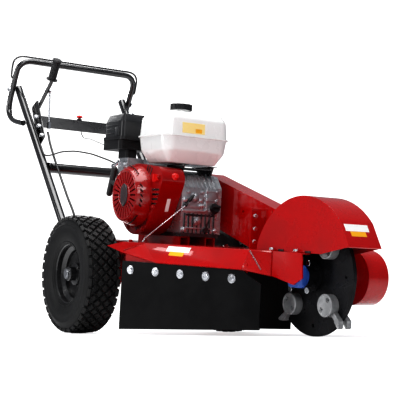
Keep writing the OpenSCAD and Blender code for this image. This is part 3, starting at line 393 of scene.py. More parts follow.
def sharp_edges(bm, degrees=30):
    """Edges where two faces meet at more than an angle."""
    limit = math.radians(degrees)
    return [e for e in bm.edges if len(e.link_faces) == 2 and e.calc_face_angle(0) > limit]


def block(size, width=1.0, segments=2, material=0):
    """A rounded block on its centre, in millimetres."""
    bm = bmesh.new()
    bmesh.ops.create_cube(bm, size=1, matrix=Matrix.Diagonal((*size, 1)))
    if width:
        round_edges(bm, bm.edges, width, segments)
    return as_shape(bm, material)


def rod(radius, length, width=0.8, sides=32, material=0, end=None):
    """A round bar from the origin along Z, with rounded ends."""
    bm = bmesh.new()
    bmesh.ops.create_cone(bm, cap_ends=True, segments=sides, radius1=radius,
                          radius2=radius if end is None else end, depth=length,
                          matrix=Matrix.Translation((0, 0, length / 2)))
    if width:
        round_edges(bm, sharp_edges(bm, 50), width)
    return as_shape(bm, material)


def lathe(profile, steps=64, material=0, closed=False):
    """Turns a line of (radius, height) points about Z."""
    bm = bmesh.new()
    verts = [bm.verts.new((r, 0, z)) for r, z in profile]
    edges = [bm.edges.new(pair) for pair in zip(verts, verts[1:])]
    if closed:
        edges.append(bm.edges.new((verts[-1], verts[0])))
    bmesh.ops.spin(bm, geom=verts + edges, cent=(0, 0, 0), axis=(0, 0, 1), angle=math.tau,
                   steps=steps, use_merge=True)
    bmesh.ops.remove_doubles(bm, verts=bm.verts, dist=0.0005)
    bmesh.ops.recalc_face_normals(bm, faces=bm.faces)
    return as_shape(bm, material)


def hex_bolt(radius, washer=0.0, head=None, dome=False):
    """A hexagon head on its washer, standing on the origin along +Z."""
    bm = bmesh.new()
    base = 0.0
    if washer:
        base = 1.8
        stamp(bm, lathe([(0, 0), (washer - 0.6, 0), (washer, 0.5), (washer, 1.3), (washer - 0.6, base),
                         (0, base)], 40))
    head = head or radius * 0.72
    hexagon = rod(radius, head, 0.0, 6)
    top = bmesh.new()
    top.from_mesh(hexagon)
    round_edges(top, [e for e in top.edges if all(v.co.z > head * 0.9 for v in e.verts)], radius * 0.14, 2)
    if dome:
        stamp(top, lathe([(radius * 0.52, head - 0.4), (radius * 0.5, head + radius * 0.22),
                          (radius * 0.3, head + radius * 0.36), (0, head + radius * 0.4)], 24))
    stamp(bm, as_shape(top), Matrix.Translation((0, 0, base)))
    return as_shape(bm)


def at(x, y, z, *turns):
    """A place, then turns given as (degrees, axis)."""
    matrix = Matrix.Translation((x, y, z))
    for degrees, axis in turns:
        matrix = matrix @ Matrix.Rotation(math.radians(degrees), 4, axis)
    return matrix


def bolts(bm, places, radius, washer=0.0, *turns):
    """Stamps like bolts at several places."""
    shape = hex_bolt(radius, washer)
    for place in places:
        stamp(bm, shape, at(*place, *turns))


def slab(size, radius, segments, lift=0.0):
    """A box with its upright edges rounded, its middle at a height."""
    bm = bmesh.new()
    bmesh.ops.create_cube(bm, size=1, matrix=at(0, 0, lift) @ Matrix.Diagonal((*size, 1)))
    round_edges(bm, [e for e in bm.edges if abs(e.verts[0].co.z - e.verts[1].co.z) > 1], radius, segments)
    return bm


def around(middle, radius, y, angles):
    """Places on a circle across the machine, at angles in degrees."""
    return [(middle.x + radius * math.cos(math.radians(a)), y, middle.z + radius * math.sin(math.radians(a)))
            for a in angles]


def lay(point, normal, along):
    """A place on a surface: +X of a shape runs along it and +Z stands off it."""
    z = Vector(normal).normalized()
    x = (Vector(along) - z * z.dot(Vector(along))).normalized()
    return Matrix.Translation(point) @ Matrix((x, z.cross(x), z)).transposed().to_4x4()


def bar(bm, start, end, radius, material=0):
    """Stamps a round bar between two points."""
    start, end = Vector(start), Vector(end)
    line = end - start
    stamp(bm, rod(radius, line.length, radius * 0.3, 16, material),
          Matrix.Translation(start) @ line.to_track_quat("Z", "Y").to_matrix().to_4x4())


RIGHT = (90, "X")       # +Z of a shape points to the operator's right
LEFT = (-90, "X")       # +Z of a shape points to the operator's left
FORWARD = (90, "Y")     # +Z of a shape points forward


def new_object(bm, name, materials):
    """A mesh object at the origin from a bmesh in the frame's metres."""
    mesh = bpy.data.meshes.new(name)
    bm.to_mesh(mesh)
    bm.free()
    for key in materials:
        mesh.materials.append(FINISH[key])
    piece = bpy.data.objects.new(name, mesh)
    bpy.context.scene.collection.objects.link(piece)
    return piece


def settle(piece, body, replaces=(), smooth=35.0, edge=0.0, segments=2, angle=38.0):
    """Shades a piece, rounds its edges where asked, and gives it its body."""
    mesh = piece.data
    mesh.shade_smooth()
    mesh.set_sharp_from_angle(angle=math.radians(smooth))
    if edge:
        bevel = piece.modifiers.new("Rounded edges", "BEVEL")
        bevel.width = edge
        bevel.segments = segments
        bevel.limit_method = "ANGLE"
        bevel.angle_limit = math.radians(angle)
        bevel.use_clamp_overlap = True
        bevel.harden_normals = True
        for polygon in mesh.polygons:
            polygon.use_smooth = True
    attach(piece, body)
    if replaces:
        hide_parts(*replaces)


def build(bm, name, finishes, node, replaces=False, smooth=35.0):
    """Ends a piece that belongs with a CAD node, taking its body from it."""
    bmesh.ops.transform(bm, matrix=PLACE, verts=bm.verts)
    piece = new_object(bm, name, [finishes] if isinstance(finishes, str) else finishes)
    settle(piece, BODY_OF[node], (node,) if replaces else (), smooth)


def dress(node, finish_name, edge=None, smooth=35.0, segments=2, extra=None, angle=38.0, extra_finishes=(),
          pick=None):
    """A cleaned copy of a CAD node with rounded edges, standing for the node. extra adds
    shapes to it in the machine's own millimetres, and pick gives the finish of a face by
    its middle there."""
    source = frame["nodes"][node].data
    bm = bmesh.new()
    bm.from_mesh(source)
    bmesh.ops.remove_doubles(bm, verts=bm.verts, dist=0.000004)
    bmesh.ops.dissolve_limit(bm, angle_limit=math.radians(0.6), use_dissolve_boundaries=False,
                             verts=bm.verts, edges=bm.edges, delimit=set())
    back = PLACE.inverted()
    for face in bm.faces:
        face.material_index = pick(back @ face.calc_center_median()) if pick else 0
    if extra:
        more = bmesh.new()
        extra(more)
        bmesh.ops.transform(more, matrix=PLACE, verts=more.verts)
        loose = bpy.data.meshes.new("extra")
        more.to_mesh(loose)
        more.free()
        bm.from_mesh(loose)
    piece = new_object(bm, node + "_piece", [finish_name, *extra_finishes])
    if edge is None:
        edge = bpy.context.scene.grinder_trim.edge
    settle(piece, BODY_OF[node], (node,), smooth, edge, segments, angle)


def paint(node, finish_name):
    """A CAD node that keeps its shape and gets its finish."""
    mesh = frame["nodes"][node].data
    mesh.materials.clear()
    mesh.materials.append(FINISH[finish_name])


def weld(bm, start, end, size=4.0, pitch=3.0, material=0):
    """A weld bead: overlapping flattened drops along a line."""
    drop = bmesh.new()
    bmesh.ops.create_uvsphere(drop, u_segments=8, v_segments=5, radius=size)
    shape = as_shape(drop, material)
    start, end = Vector(start), Vector(end)
    line = end - start
    count = max(2, int(line.length / pitch))
    turn = line.to_track_quat("Z", "Y").to_matrix().to_4x4()
    for i in range(count + 1):
        wander = 0.3 * math.sin(i * 2.1)
        matrix = (Matrix.Translation(start + line * i / count) @ turn @ Matrix.Rotation(0.35, 4, "X")
                  @ Matrix.Translation((0, wander, 0)) @ Matrix.Diagonal((1, 1, 0.55, 1)))
        stamp(bm, shape, matrix)


# ---------------------------------------------------------------- deck, hood and guard
class GRINDER_OT_deck(bpy.types.Operator):
    """Builds the folded deck, the engine rails and the bearing housings"""
    bl_idname = "grinder.deck"
    bl_label = "Deck"

    def execute(self, context):
        def folds(bm):
            weld(bm, (727, -112.6, 118), (766, -99.4, 67), 3.2, 4.2, 1)
            weld(bm, (790, -79.5, 121), (790, -79.5, 54), 2.6, 2.4)
            weld(bm, (332, -249, 121), (285, -298, 95), 2.8, 2.6)
            for s in (-1, 1):
                weld(bm, (-60, s * 181, 118), (60, s * 181, 118), 3.0, 2.6)
                bolts(bm, [(x, s * 196, DECK_Z) for x in (-250, -120, 10, 140)], 7, 10)
            flange, along = (0.27, -0.78, 0.57), (0.947, 0.321, -0.013)
            stamp(bm, block((92, 20, 0.9), 0.3, 1, 2), lay((477.6, -207.9, 108.5), flange, along))
            stamp(bm, block((58, 15, 0.9), 0.3, 1, 3), lay((480.6, -217.2, 94.5), flange, along))
            # Painted shade: black blocks stand in for the dark openings of two slots at the deck's top.
            for x in (806, 930):
                stamp(bm, block((24, 5, 6), 1.0, 2, 4), at(x, -58.5, 126))
        dress("deck", "deck_red", extra=folds, segments=3,
              extra_finishes=("zinc", "plate_white", "plate_amber", "moulded_black_and_slot_shade"))
        dress("engine_rails", "deck_red")
        dress("axle", "machined")

        bm = bmesh.new()
        bolts(bm, around(CUTTER, 62, 78.2, (45, 135, 225, 315)), 8.5, 11, LEFT)
        bolts(bm, [(CUTTER.x + x, -61, CUTTER.z + z) for x in (-38, 38) for z in (-38, 38)], 7, 9, LEFT)
        build(bm, "bearing_bolts", "zinc", "bearing_housings")
        dress("bearing_housings", "bearing_blue", edge=0.003, segments=3)
        return {"FINISHED"}


class GRINDER_OT_hood(bpy.types.Operator):
    """Builds the cutter hood with its bolts"""
    bl_idname = "grinder.hood"
    bl_label = "Hood"

    def execute(self, context):
        def plates(bm):
            slope = (0.86, 0, 0.51)
            stamp(bm, block((84, 22, 0.9), 0.3, 1, 1), lay((1071.5, -8, 199), slope, (0, 1, 0)))
            stamp(bm, block((54, 15, 0.9), 0.3, 1, 2), lay((1081.2, -8, 182.7), slope, (0, 1, 0)))
        dress("hood", "deck_red", edge=0.0011, segments=3, extra=plates,
              extra_finishes=("plate_white", "plate_amber"))
        dress("cover_bolts", "zinc", edge=0.0006)
        return {"FINISHED"}


class GRINDER_OT_guard(bpy.types.Operator):
    """Builds the belt guard, the pulleys and the belt"""
    bl_idname = "grinder.guard"
    bl_label = "Belt guard"

    def execute(self, context):
        dress("guard_back", "deck_red")
        dress("guard_cover", "deck_red", edge=0.0028, segments=4)
        for node in ("driven_pulley", "drive_pulley", "crankshaft", "cutter_shaft"):
            dress(node, "machined", edge=0.0006)
        dress("flywheel", "cast_alloy", edge=0.0008)
        dress("drive_belt", "belt_rubber", edge=0.001)
        return {"FINISHED"}


class GRINDER_OT_flaps(bpy.types.Operator):
    """Builds the rubber flaps and their large washers"""
    bl_idname = "grinder.flaps"
    bl_label = "Rubber flaps"

    def execute(self, context):
        dress("right_flap", "flap_rubber", edge=0.0009)
        dress("left_flap", "flap_rubber", edge=0.0009)
        dress("flap_bolts", "zinc", edge=0.0009, segments=3)
        return {"FINISHED"}


# ---------------------------------------------------------------- wheels
class GRINDER_OT_wheels(bpy.types.Operator):
    """Builds both tyres with their tread blocks and both steel wheels"""
    bl_idname = "grinder.wheels"
    bl_label = "Wheels"

    def execute(self, context):
        wheel = context.scene.grinder_wheel
        tall = wheel.lug_height * 1000
        floor_r = TYRE_R - tall
        # half of the carcass from bead to crown: distance from the axle, then from the middle
        half = [(101, 41), (101.5, 46), (105, 50.5), (108, 51.5), (110, 54), (112, 52.5), (119, 56),
                (134, 60.2), (150, 61.6), (163, 61.2), (165, 62), (168, 62), (170, 60.6), (180, 57.5),
                (188, 52.5), (193, 46), (floor_r - 0.8, 34), (floor_r - 0.2, 18), (floor_r, 0)]
        ring = [(r, -y) for r, y in half] + [(r, y) for r, y in reversed(half[:-1])]
        carcass = lathe(ring, 112, closed=True)

        def tread_block(size, narrow, width):
            """A block that narrows outwards, with its outer edges rounded."""
            bm = bmesh.new()
            bmesh.ops.create_cube(bm, size=1, matrix=Matrix.Diagonal((*size, 1)))
            for vert in bm.verts:
                if vert.co.z > 0:
                    vert.co.x *= narrow[0]
                    vert.co.y *= narrow[1]
            round_edges(bm, [e for e in bm.edges if all(v.co.z > 0 for v in e.verts)], width, 1)
            return as_shape(bm, 1)
        lug = tread_block((19.6, 19.6, tall + 3), (0.86, 0.86), 1.0)
        shoulder = tread_block((14, 26, tall + 4), (0.78, 0.93), 1.1)
        pitch = 360 / wheel.lugs
        for side, name in ((-1, "right"), (1, "left")):
            out = at(0, side * WHEEL_Y, 0, (-90 * side, "X"))
            bm = bmesh.new()
            stamp(bm, carcass)
            for row, width in enumerate((-35, -17.5, 0, 17.5, 35)):
                drop = (width / 35) ** 2 * 2.2
                for i in range(wheel.lugs):
                    stamp(bm, lug, at(0, 0, 0, (pitch * (i + (row % 2) * 0.5), "Z"))
                          @ at(TYRE_R - (tall + 3) / 2 - drop, 0, width, (90, "Y"), (45, "Z")))
            for end in (-1, 1):
                for i in range(wheel.lugs):
                    stamp(bm, shoulder, at(0, 0, 0, (pitch * (i + 0.5), "Z"))
                          @ at(191.2, 0, end * 50.2, (90 - end * 38, "Y")))
            bmesh.ops.transform(bm, matrix=out, verts=bm.verts)
            # The carcass, sidewalls included, takes the darker rubber as painted groove shade; the tread
            # blocks take the tread rubber.
            build(bm, name + "_tyre_piece", ("groove_shade_rubber", "tread_rubber"), name + "_tyre",
                  replaces=True, smooth=42)

            def fittings(more, out=out):
                for a in (45, 135, 225, 315):
                    stamp(more, hex_bolt(8.5, 0, 9, dome=True), out @ at(0, 0, 0, (a, "Z")) @ at(40, 0, 3.2))
                valve = lathe([(0, 0), (4.6, 0), (4.6, 12), (3.2, 14), (3.2, 26), (4.0, 27), (4.0, 33),
                               (0, 34)], 20)
                stamp(more, valve, out @ at(0, 0, 0, (20, "Z")) @ at(84, 0, 14, (-28, "Y")))
                cap = lathe([(24, 0), (25, 1.6), (25, 7), (22.5, 9.5), (15, 10), (13.5, 8.5), (13.5, 0)], 40)
                stamp(more, cap, out @ at(0, 0, 37))
            dress(name + "_rim", "wheel_black", edge=0.0012, extra=fittings)
        return {"FINISHED"}


# ---------------------------------------------------------------- engine
class GRINDER_OT_engine_case(bpy.types.Operator):
    """Builds the ribbed crankcase, cylinder, side cover and their bolts"""
    bl_idname = "grinder.engine_case"
    bl_label = "Engine case"

    def execute(self, context):
        front = CRANK.x + 152
        base = 149

        def ribs(bm):
            tall = block((7, 3.4, 70), 1.2, 2, 1)
            for i in range(8):
                stamp(bm, tall, at(front + 1.5, -44 + i * 17, base + 46))
            stamp(bm, block((7, 140, 6), 1.5), at(front + 1.5, 17, base + 30))
            stamp(bm, block((7, 140, 6), 1.5), at(front + 1.5, 17, base + 132))
            boss = rod(8.5, 9, 1.2)
            for y, z in ((-46, 24), (-46, 126), (80, 24), (80, 126), (17, 126)):
                stamp(bm, boss, at(front - 3, y, base + z, FORWARD))
                bolts(bm, [(front + 6, y, base + z)], 6, 8, FORWARD)
            slope = block((70, 3.2, 5), 1.2)
            for i in range(8):
                stamp(bm, slope, at(215, -44 + i * 17, 343, (51, "Y")))
            bolts(bm, [(x, 14 + s * 51.5, base + 13) for s in (-1, 1) for x in (-25, 185)], 7, 10)
            stamp(bm, block((10, 48, 80), 3, 3), at(front + 2, 60, 276))
            for z in (244, 276, 308):
                stamp(bm, block((4, 40, 3), 1.0), at(front + 7.5, 60, z))
                bolts(bm, [(front + 7, y, z) for y in (40, 80)], 4.5, 6.5, FORWARD)
            stamp(bm, block((12, 144, 9), 2.0), at(front + 2, 15, 238))
            stamp(bm, rod(20, 16, 3, 32, 0, 9), at(front - 2, -6, 284, FORWARD))
            stamp(bm, rod(15, 10, 2, 32), at(front - 2, 6, 204, FORWARD))
            bolts(bm, [(front + 8, 6, 204)], 9, 12, FORWARD)
            for y, z in ((-34, 262), (-34, 304), (22, 304), (22, 258)):
                stamp(bm, rod(7, 12, 1.4), at(front - 2, y, z, FORWARD))
                bolts(bm, [(front + 10, y, z)], 4.5, 6, FORWARD)
        # The faces below 232 mm take the dark cast alloy: the crankcase is darker towards the bottom.
        dress("crankcase", "cast_alloy", edge=0.0016, extra=ribs, segments=3, extra_finishes=("dark_alloy",),
              pick=lambda p: 1 if p.z < 232 else 0)
        bm = bmesh.new()
        bar(bm, (240, -13, 293), (240, -47, 253), 5, 1)
        bar(bm, (240, -47, 253), (192, -170, 137), 2.6)
        bar(bm, (192, -170, 137), (190, -177, 122), 2.6)
        stamp(bm, block((14, 12, 3), 0.8), at(190, -178, 123.8))
        build(bm, "control_rod", ("zinc", "cable_black"), "cover_bolts")

        def cover_detail(bm):
            middle, turns = CRANK + Vector((20, 104.2, 4)), [math.radians(i * 36 + 10) for i in range(10)]
            places = [middle + Vector((96 * math.cos(a), 0, 84 * math.sin(a))) for a in turns]
            bolts(bm, places, 5.5, 7.5, LEFT)
        dress("side_cover", "cast_alloy", edge=0.002, extra=cover_detail, segments=3)
        lean = Matrix.Translation(CRANK) @ Matrix.Rotation(math.radians(25 - 90), 4, "Y")

        def more_fins(bm):
            count = context.scene.grinder_trim.fins
            for i in range(count - 1):
                stamp(bm, block((116, 146, 2.2), 0.7), lean @ at(8, 15, 135.5 + i * 11))
        dress("cylinder_block", "cast_alloy", edge=0.0009, extra=more_fins)

        def rocker(bm):
            bolt = hex_bolt(5.5, 8)
            for x, y in ((-26, -34), (-26, 58), (36, -34), (36, 58)):
                stamp(bm, bolt, lean @ at(x, y, 202.3))
            stamp(bm, block((60, 92, 5), 2.2), lean @ at(9, 14, 237))
        dress("rocker_cover", "dark_alloy", edge=0.004, extra=rocker, segments=4)
        dress("spark_plug", "moulded_black_and_slot_shade", edge=0.002)
        dress("dipstick", "moulded_black_and_slot_shade", edge=0.0022, segments=3)
        return {"FINISHED"}


class GRINDER_OT_starter(bpy.types.Operator):
    """Builds the fan shroud, the recoil cover, its grip and the switch, with black blocks as painted shade in
    the slots
    """
    bl_idname = "grinder.starter"
    bl_label = "Starter"

    def execute(self, context):
        def shroud(bm):
            spots = ((-88.32, 80.96), (147.2, 64.4), (117.76, -38.64), (-55.2, -108.56), (53.36, -114.08))
            bolts(bm, [(CRANK.x + x, -148.2, CRANK.z + z) for x, z in spots], 6.5, 10, RIGHT)
            for i in range(4):
                stamp(bm, block((44, 3, 3.4), 1.1), at(CRANK.x + 128, -149.2, CRANK.z - 22 + i * 16))
            # Painted shade: black blocks stand in for the dark slots across the shroud's top.
            for x, z, tilt in ((144, 374, 20), (158, 371, 24), (172, 366, 28)):
                stamp(bm, block((6, 1.6, 26), 0.6, 2, 1), at(x, -148.4, z, (tilt, "Y")))
            # Painted shade: black blocks stand in for the dark diagonal slots beside the recoil cover.
            for i in range(5):
                stamp(bm, block((5, 1.6, 24), 0.6, 2, 1), at(92 + i * 15, -148.4, 172 + i * 5, (35, "Y")))
            knob = lathe([(0, 0), (13, 0), (13, 4), (10, 6), (9, 12), (6, 14), (0, 14.6)], 32, 2)
            stamp(bm, knob, at(248.5, -99, 347.6, (73, "Y")))
            stamp(bm, block((14, 50, 0.9), 0.3, 1, 3), lay((208.5, -98, 252), (0.88, 0, -0.47), (0, 1, 0.12)))
        dress("fan_shroud", "engine_red", edge=0.0035, extra=shroud, segments=4,
              extra_finishes=("moulded_black_and_slot_shade", "button_red", "plate_white"))

        def recoil(bm):
            face = at(CRANK.x, -199, CRANK.z, RIGHT)
            for r in (84.5, 38):
                bead = [(r - 2.2, -1), (r - 1.6, 1.2), (r, 1.9), (r + 1.6, 1.2), (r + 2.2, -1)]
                stamp(bm, lathe(bead, 72), face)
            bolts(bm, around(CRANK, 103, -158.2, (30, 150, 270)), 6, 9.5, RIGHT)
            badge = lathe([(0, 0), (33, 0), (35, 0.8), (35, 2.2), (33.5, 3.4), (0, 4.6)], 48, material=1)
            stamp(bm, badge, face @ Matrix.Diagonal((0.66, 1.05, 1, 1)))
            trim = lathe([(33.6, 1), (34.4, 3), (36, 3.4), (37, 2), (37, 0)], 48, material=2)
            stamp(bm, trim, face @ Matrix.Diagonal((0.66, 1.05, 1, 1)))
            # Painted shade: black blocks stand in for the dark vent slots round the edge of the recoil cover.
            vent_shade = block((2.4, 26, 5), 0.6, 1, 3)
            for tilt, angles in ((20, (82, 74, 66, 58, 50)), (-32, (18, 8, -2, -12, -22)),
                                 (24, (-46, -54, -62, -70, -78))):
                for angle in angles:
                    stamp(bm, vent_shade, at(CRANK.x, 0, CRANK.z, (-angle, "Y"))
                          @ at(98.6, -182.4, 0, (27, "Z"), (tilt, "X")))
        dress("recoil_cover", "engine_red", edge=0.0014, extra=recoil,
              extra_finishes=("badge", "dark_alloy", "moulded_black_and_slot_shade"), segments=3)
        dress("starter_grip", "grip_rubber", edge=0.001)
        dress("engine_switch", "button_red", edge=0.0012, segments=3)
        return {"FINISHED"}


class GRINDER_OT_tank(bpy.types.Operator):
    """Builds the fuel tank with its seam, its cap and its bracket"""
    bl_idname = "grinder.tank"
    bl_label = "Fuel tank"

    def execute(self, context):
        low, high, seam = Vector((47, -150, 0)), Vector((262, 112, 0)), TANK_SEAM
        middle = (low + high) / 2
        size = high - low

        def shell(steps, up):
            """A rounded box grown from the seam by insets, each (thickness, rise)."""
            bm = slab((size.x, size.y, 6), 44, 10)
            for thickness, rise in steps:
                cap = max(bm.faces, key=lambda f: f.calc_center_median().z)
                bmesh.ops.inset_region(bm, faces=[cap], thickness=thickness, depth=0)
                cap = max((f for f in bm.faces if len(f.verts) > 8),
                          key=lambda f: (f.calc_center_median().z, -f.calc_area()))
                bmesh.ops.translate(bm, vec=(0, 0, rise), verts=cap.verts)
            round_edges(bm, [e for e in sharp_edges(bm, 9) if min(v.co.z for v in e.verts) > 5], 6, 3)
            if not up:
                bmesh.ops.scale(bm, vec=(1, 1, -1), verts=bm.verts)
                bmesh.ops.reverse_faces(bm, faces=bm.faces)
            bmesh.ops.translate(bm, vec=(middle.x, middle.y, seam), verts=bm.verts)
            return as_shape(bm)
        bm = bmesh.new()
        stamp(bm, shell(((5, 58), (19, 24), (30, 3)), True))
        stamp(bm, shell(((7, 46), (31, TANK_DROP - 50)), False))
        rim = slab((size.x + 10, size.y + 10, 5), 47, 10)
        round_edges(rim, sharp_edges(rim, 60), 1.2, 2)
        stamp(bm, as_shape(rim), Matrix.Translation((middle.x, middle.y, seam - 0.5)))
        neck = (140, -25)
        stamp(bm, lathe([(29, 70), (40, 84), (35, 88), (33, 101), (30, 99)], 48), at(*neck, seam))
        build(bm, "fuel_tank_piece", "tank_white", "fuel_tank", replaces=True, smooth=30)

        slope = (-4.7, "Y")
        bm = bmesh.new()
        stamp(bm, block((0.9, 90, 36), 0.3, 1, 0), at(260.2, -42, seam + 28, slope))
        stamp(bm, block((0.9, 26, 14), 0.3, 1, 1), at(260.9, -22, seam + 20, slope))
        build(bm, "tank_patch", ("plate_cream", "plate_amber"), "fuel_tank")
        dress("fuel_cap", "moulded_black_and_slot_shade", edge=0.0016, segments=3)
        dress("tank_bracket", "frame_black")
        return {"FINISHED"}


class GRINDER_OT_intake(bpy.types.Operator):
    """Builds the air filter, carburettor, its levers and the muffler"""
    bl_idname = "grinder.intake"
    bl_label = "Intake and exhaust"

    def execute(self, context):
        low, high = Vector((-205, -150, 500)), Vector((-55, -20, 586))
        middle, size = (low + high) / 2, high - low
        bm = slab((size.x - 4, size.y - 4, 56), 16, 6, 28)
        cap = max(bm.faces, key=lambda f: f.calc_center_median().z)
        bmesh.ops.inset_region(bm, faces=[cap], thickness=11, depth=0)
        bmesh.ops.translate(bm, vec=(0, 0, 27), verts=cap.verts)
        bmesh.ops.inset_region(bm, faces=[cap], thickness=14, depth=0)
        bmesh.ops.inset_region(bm, faces=[cap], thickness=2.2, depth=0)
        bmesh.ops.translate(bm, vec=(0, 0, -2.4), verts=cap.verts)
        round_edges(bm, [e for e in sharp_edges(bm, 20) if min(v.co.z for v in e.verts) > 50], 3.2, 3)
        shape = as_shape(bm)
        bm = bmesh.new()
        stamp(bm, shape, Matrix.Translation((middle.x, middle.y, low.z)))
        for i in range(3):
            stamp(bm, block((4, size.y - 52, 3), 1.2), at(low.x + 1.8, middle.y, low.z + 14 + i * 14))
            stamp(bm, block((size.x - 60, 4, 3), 1.2), at(middle.x - 8, low.y + 1.8, low.z + 14 + i * 14))
        stamp(bm, block((30, 5, 34), 2.0), at(high.x - 40, low.y + 1.6, low.z + 18))
        build(bm, "air_filter_cover_piece", "charcoal", "air_filter_cover", replaces=True, smooth=30)
        bm = bmesh.new()
        nut = at(high.x - 50, low.y + 60, low.z + 81)
        stamp(bm, lathe([(0, 0), (11, 0), (11, 1.5), (7, 3), (6, 11), (0, 12)], 32), nut)
        for s in (-1, 1):
            wing = bmesh.new()
            bmesh.ops.create_uvsphere(wing, u_segments=16, v_segments=10, radius=1)
            stamp(bm, as_shape(wing), nut @ at(s * 12, 0, 7.5, (s * -25, "Y"))
                  @ Matrix.Diagonal((9, 2.6, 6, 1)))
        build(bm, "wing_nut", "chrome", "air_filter_cover")
        dress("air_filter_base", "moulded_black_and_slot_shade", edge=0.0016)

        def bowl(bm):
            cup = lathe([(0, -4), (20, -4), (24, 0), (25.5, 4), (25.5, 8), (24.5, 9)], 40)
            stamp(bm, cup, at(-98, -92, 329))
            stamp(bm, hex_bolt(7, 9), at(-98, -92, 325, (180, "X")))
            bolts(bm, [(-98 + s * 24, -116.2, 400) for s in (-1, 1)], 4.5, 6.5, RIGHT)
        dress("carburettor", "cast_alloy", edge=0.0016, extra=bowl, segments=3)
        dress("choke_lever", "zinc", edge=0.0008)
        dress("throttle_lever", "zinc", edge=0.0008)

        def louvres(bm):
            for i in range(5):
                stamp(bm, block((5, 74, 5), 2.0), at(-127.5, 62, 489 + i * 13))
                stamp(bm, block((5, 74, 5), 2.0), at(35.5, 62, 489 + i * 13))
        dress("muffler", "stained_steel", edge=0.004, extra=louvres, segments=4)
        return {"FINISHED"}


# ---------------------------------------------------------------- cutter
class GRINDER_OT_cutter(bpy.types.Operator):
    """Builds the cutter disc, its pockets, carbide teeth and hub"""
    bl_idname = "grinder.cutter"
    bl_label = "Cutter"

    def execute(self, context):
        dress("cutter_disc", "dark_steel", edge=0.0014)
        dress("cutter_hub", "dark_steel", edge=0.0012)

        def sockets(bm):
            for i in range(4):
                spoke = at(*CUTTER, (CUTTER_TURN - 90 * i, "Y"))
                for s in (-1, 1):
                    for z in (-19, 19):
                        stamp(bm, lathe([(3.2, -4), (3.4, 0), (5.8, 0), (6.2, -1), (6.2, -5)], 20),
                              spoke @ at(111, s * 29.5, z, (-90 * s, "X")))
                    stamp(bm, lathe([(26, 0), (27.5, 1.2), (29.5, 1.2), (31, -0.4)], 48),
                          spoke @ at(113, s * 32, 0, (-90 * s, "X")))
        dress("tooth_pockets", "pocket_steel", edge=0.0016, extra=sockets, segments=3)

        def tips(bm):
            for i in range(4):
                for s in (-1, 1):
                    stamp(bm, block((13.5, 16.9, 4.6), 0.8, 2, 1),
                          at(*CUTTER, (CUTTER_TURN - 90 * i, "Y")) @ at(182.6, s * 14.5, -9.6, (6, "Y")))
        dress("cutter_teeth", "pocket_steel", edge=0.001, extra=tips, extra_finishes=("carbide",))
        return {"FINISHED"}


# ---------------------------------------------------------------- handle and controls
class GRINDER_OT_handle(bpy.types.Operator):
    """Builds the handle frame, its plates, bars and bolts"""
    bl_idname = "grinder.handle"
    bl_label = "Handle frame"

    def execute(self, context):
        for node in ("right_handle_tube", "left_handle_tube", "cross_tube"):
            dress(node, "frame_black", edge=0.001)
        for node in ("grab_bar", "bail"):
            dress(node, "frame_black", edge=0.0008, smooth=40, angle=50)
        dress("cross_plate", "frame_black")
        dress("lever_bracket", "frame_black")
        dress("handle_bolts", "chrome", edge=0.0007)
        return {"FINISHED"}


class GRINDER_OT_controls(bpy.types.Operator):
    """Builds the brake lever with its ribbed grip and link, and the stop button"""
    bl_idname = "grinder.controls"
    bl_label = "Controls"

    def execute(self, context):
        dress("brake_lever", "frame_black", edge=0.001, smooth=40, angle=50)
        ribs = context.scene.grinder_trim.grip_ribs
        profile = [(8.6, 14), (22, 14), (23, 15), (23, 17), (22, 18), (15.5, 18.5)]
        step = 74 / ribs
        for i in range(ribs):
            z = 19.5 + i * step
            profile += [(14.6, z), (16.3, z + step * 0.22), (16.3, z + step * 0.66), (14.6, z + step * 0.88)]
        profile += [(15, 94.5), (18.4, 95.5), (19, 97), (19, 101), (17, 103.3), (12, 104), (0, 104)]
        bm = bmesh.new()
        stamp(bm, lathe(profile, 48))
        bend = Vector((132, 0, 106))
        bmesh.ops.transform(bm, matrix=Matrix.Translation(LEVER_PIN + bend)
                            @ Matrix.Rotation(math.atan2(50, 86), 4, "Y"), verts=bm.verts)
        build(bm, "lever_grip_piece", "grip_rubber", "lever_grip", replaces=True, smooth=38)
        dress("brake_link", "chrome", edge=0.0008)
        dress("stop_button", "button_red", edge=0.0012, segments=3, angle=30)
        dress("stop_switch", "moulded_black_and_slot_shade", edge=0.0012)
        return {"FINISHED"}


def bent(points, reach, steps):
    """A line of points with each corner rounded over a reach on both sides."""
    points = [Vector(p) for p in points]
    out = [points[0]]
    for a, b, c in zip(points, points[1:], points[2:]):
        p = b + (a - b).normalized() * min(reach, (a - b).length * 0.48)
        q = b + (c - b).normalized() * min(reach, (c - b).length * 0.48)
        for i in range(steps + 1):
            t = i / steps
            out.append(p * (1 - t) ** 2 + b * 2 * t * (1 - t) + q * t ** 2)
    return out + [points[-1]]


# Radius, reach of each bend, steps in a bend, and the points of the route.
CABLES = {
    "brake_cable": (4.5, 14, 2, [
        (-612, -200, 540), (-596, -201, 520), (-580, -204, 500), (-545, -206, 462), (-500, -206, 410),
        (-440, -205, 345), (-380, -203, 277), (-330, -200, 225), (-300, -197, 180), (-290, -190, 150),
        (-290, -188, 122.9)]),
    "throttle_cable": (3.0, 24, 3, [
        (-795, -246, 715), (-729, -244, 640), (-585, -239, 477), (-550, -236, 438), (-526, -218, 441),
        (-480, -194, 456), (-400, -170, 457), (-300, -150, 444), (-200, -124, 418), (-130.7, -100, 392)]),
    "stop_wire": (2.0, 20, 3, [
        (-748, 10, 588), (-748, 12, 562), (-716, 12, 542), (-660, 0, 538), (-600, -14, 530),
        (-500, -32, 512), (-400, -46, 492), (-310, -58, 478), (-255, -62, 471), (-213.2, -62, 470)]),
}


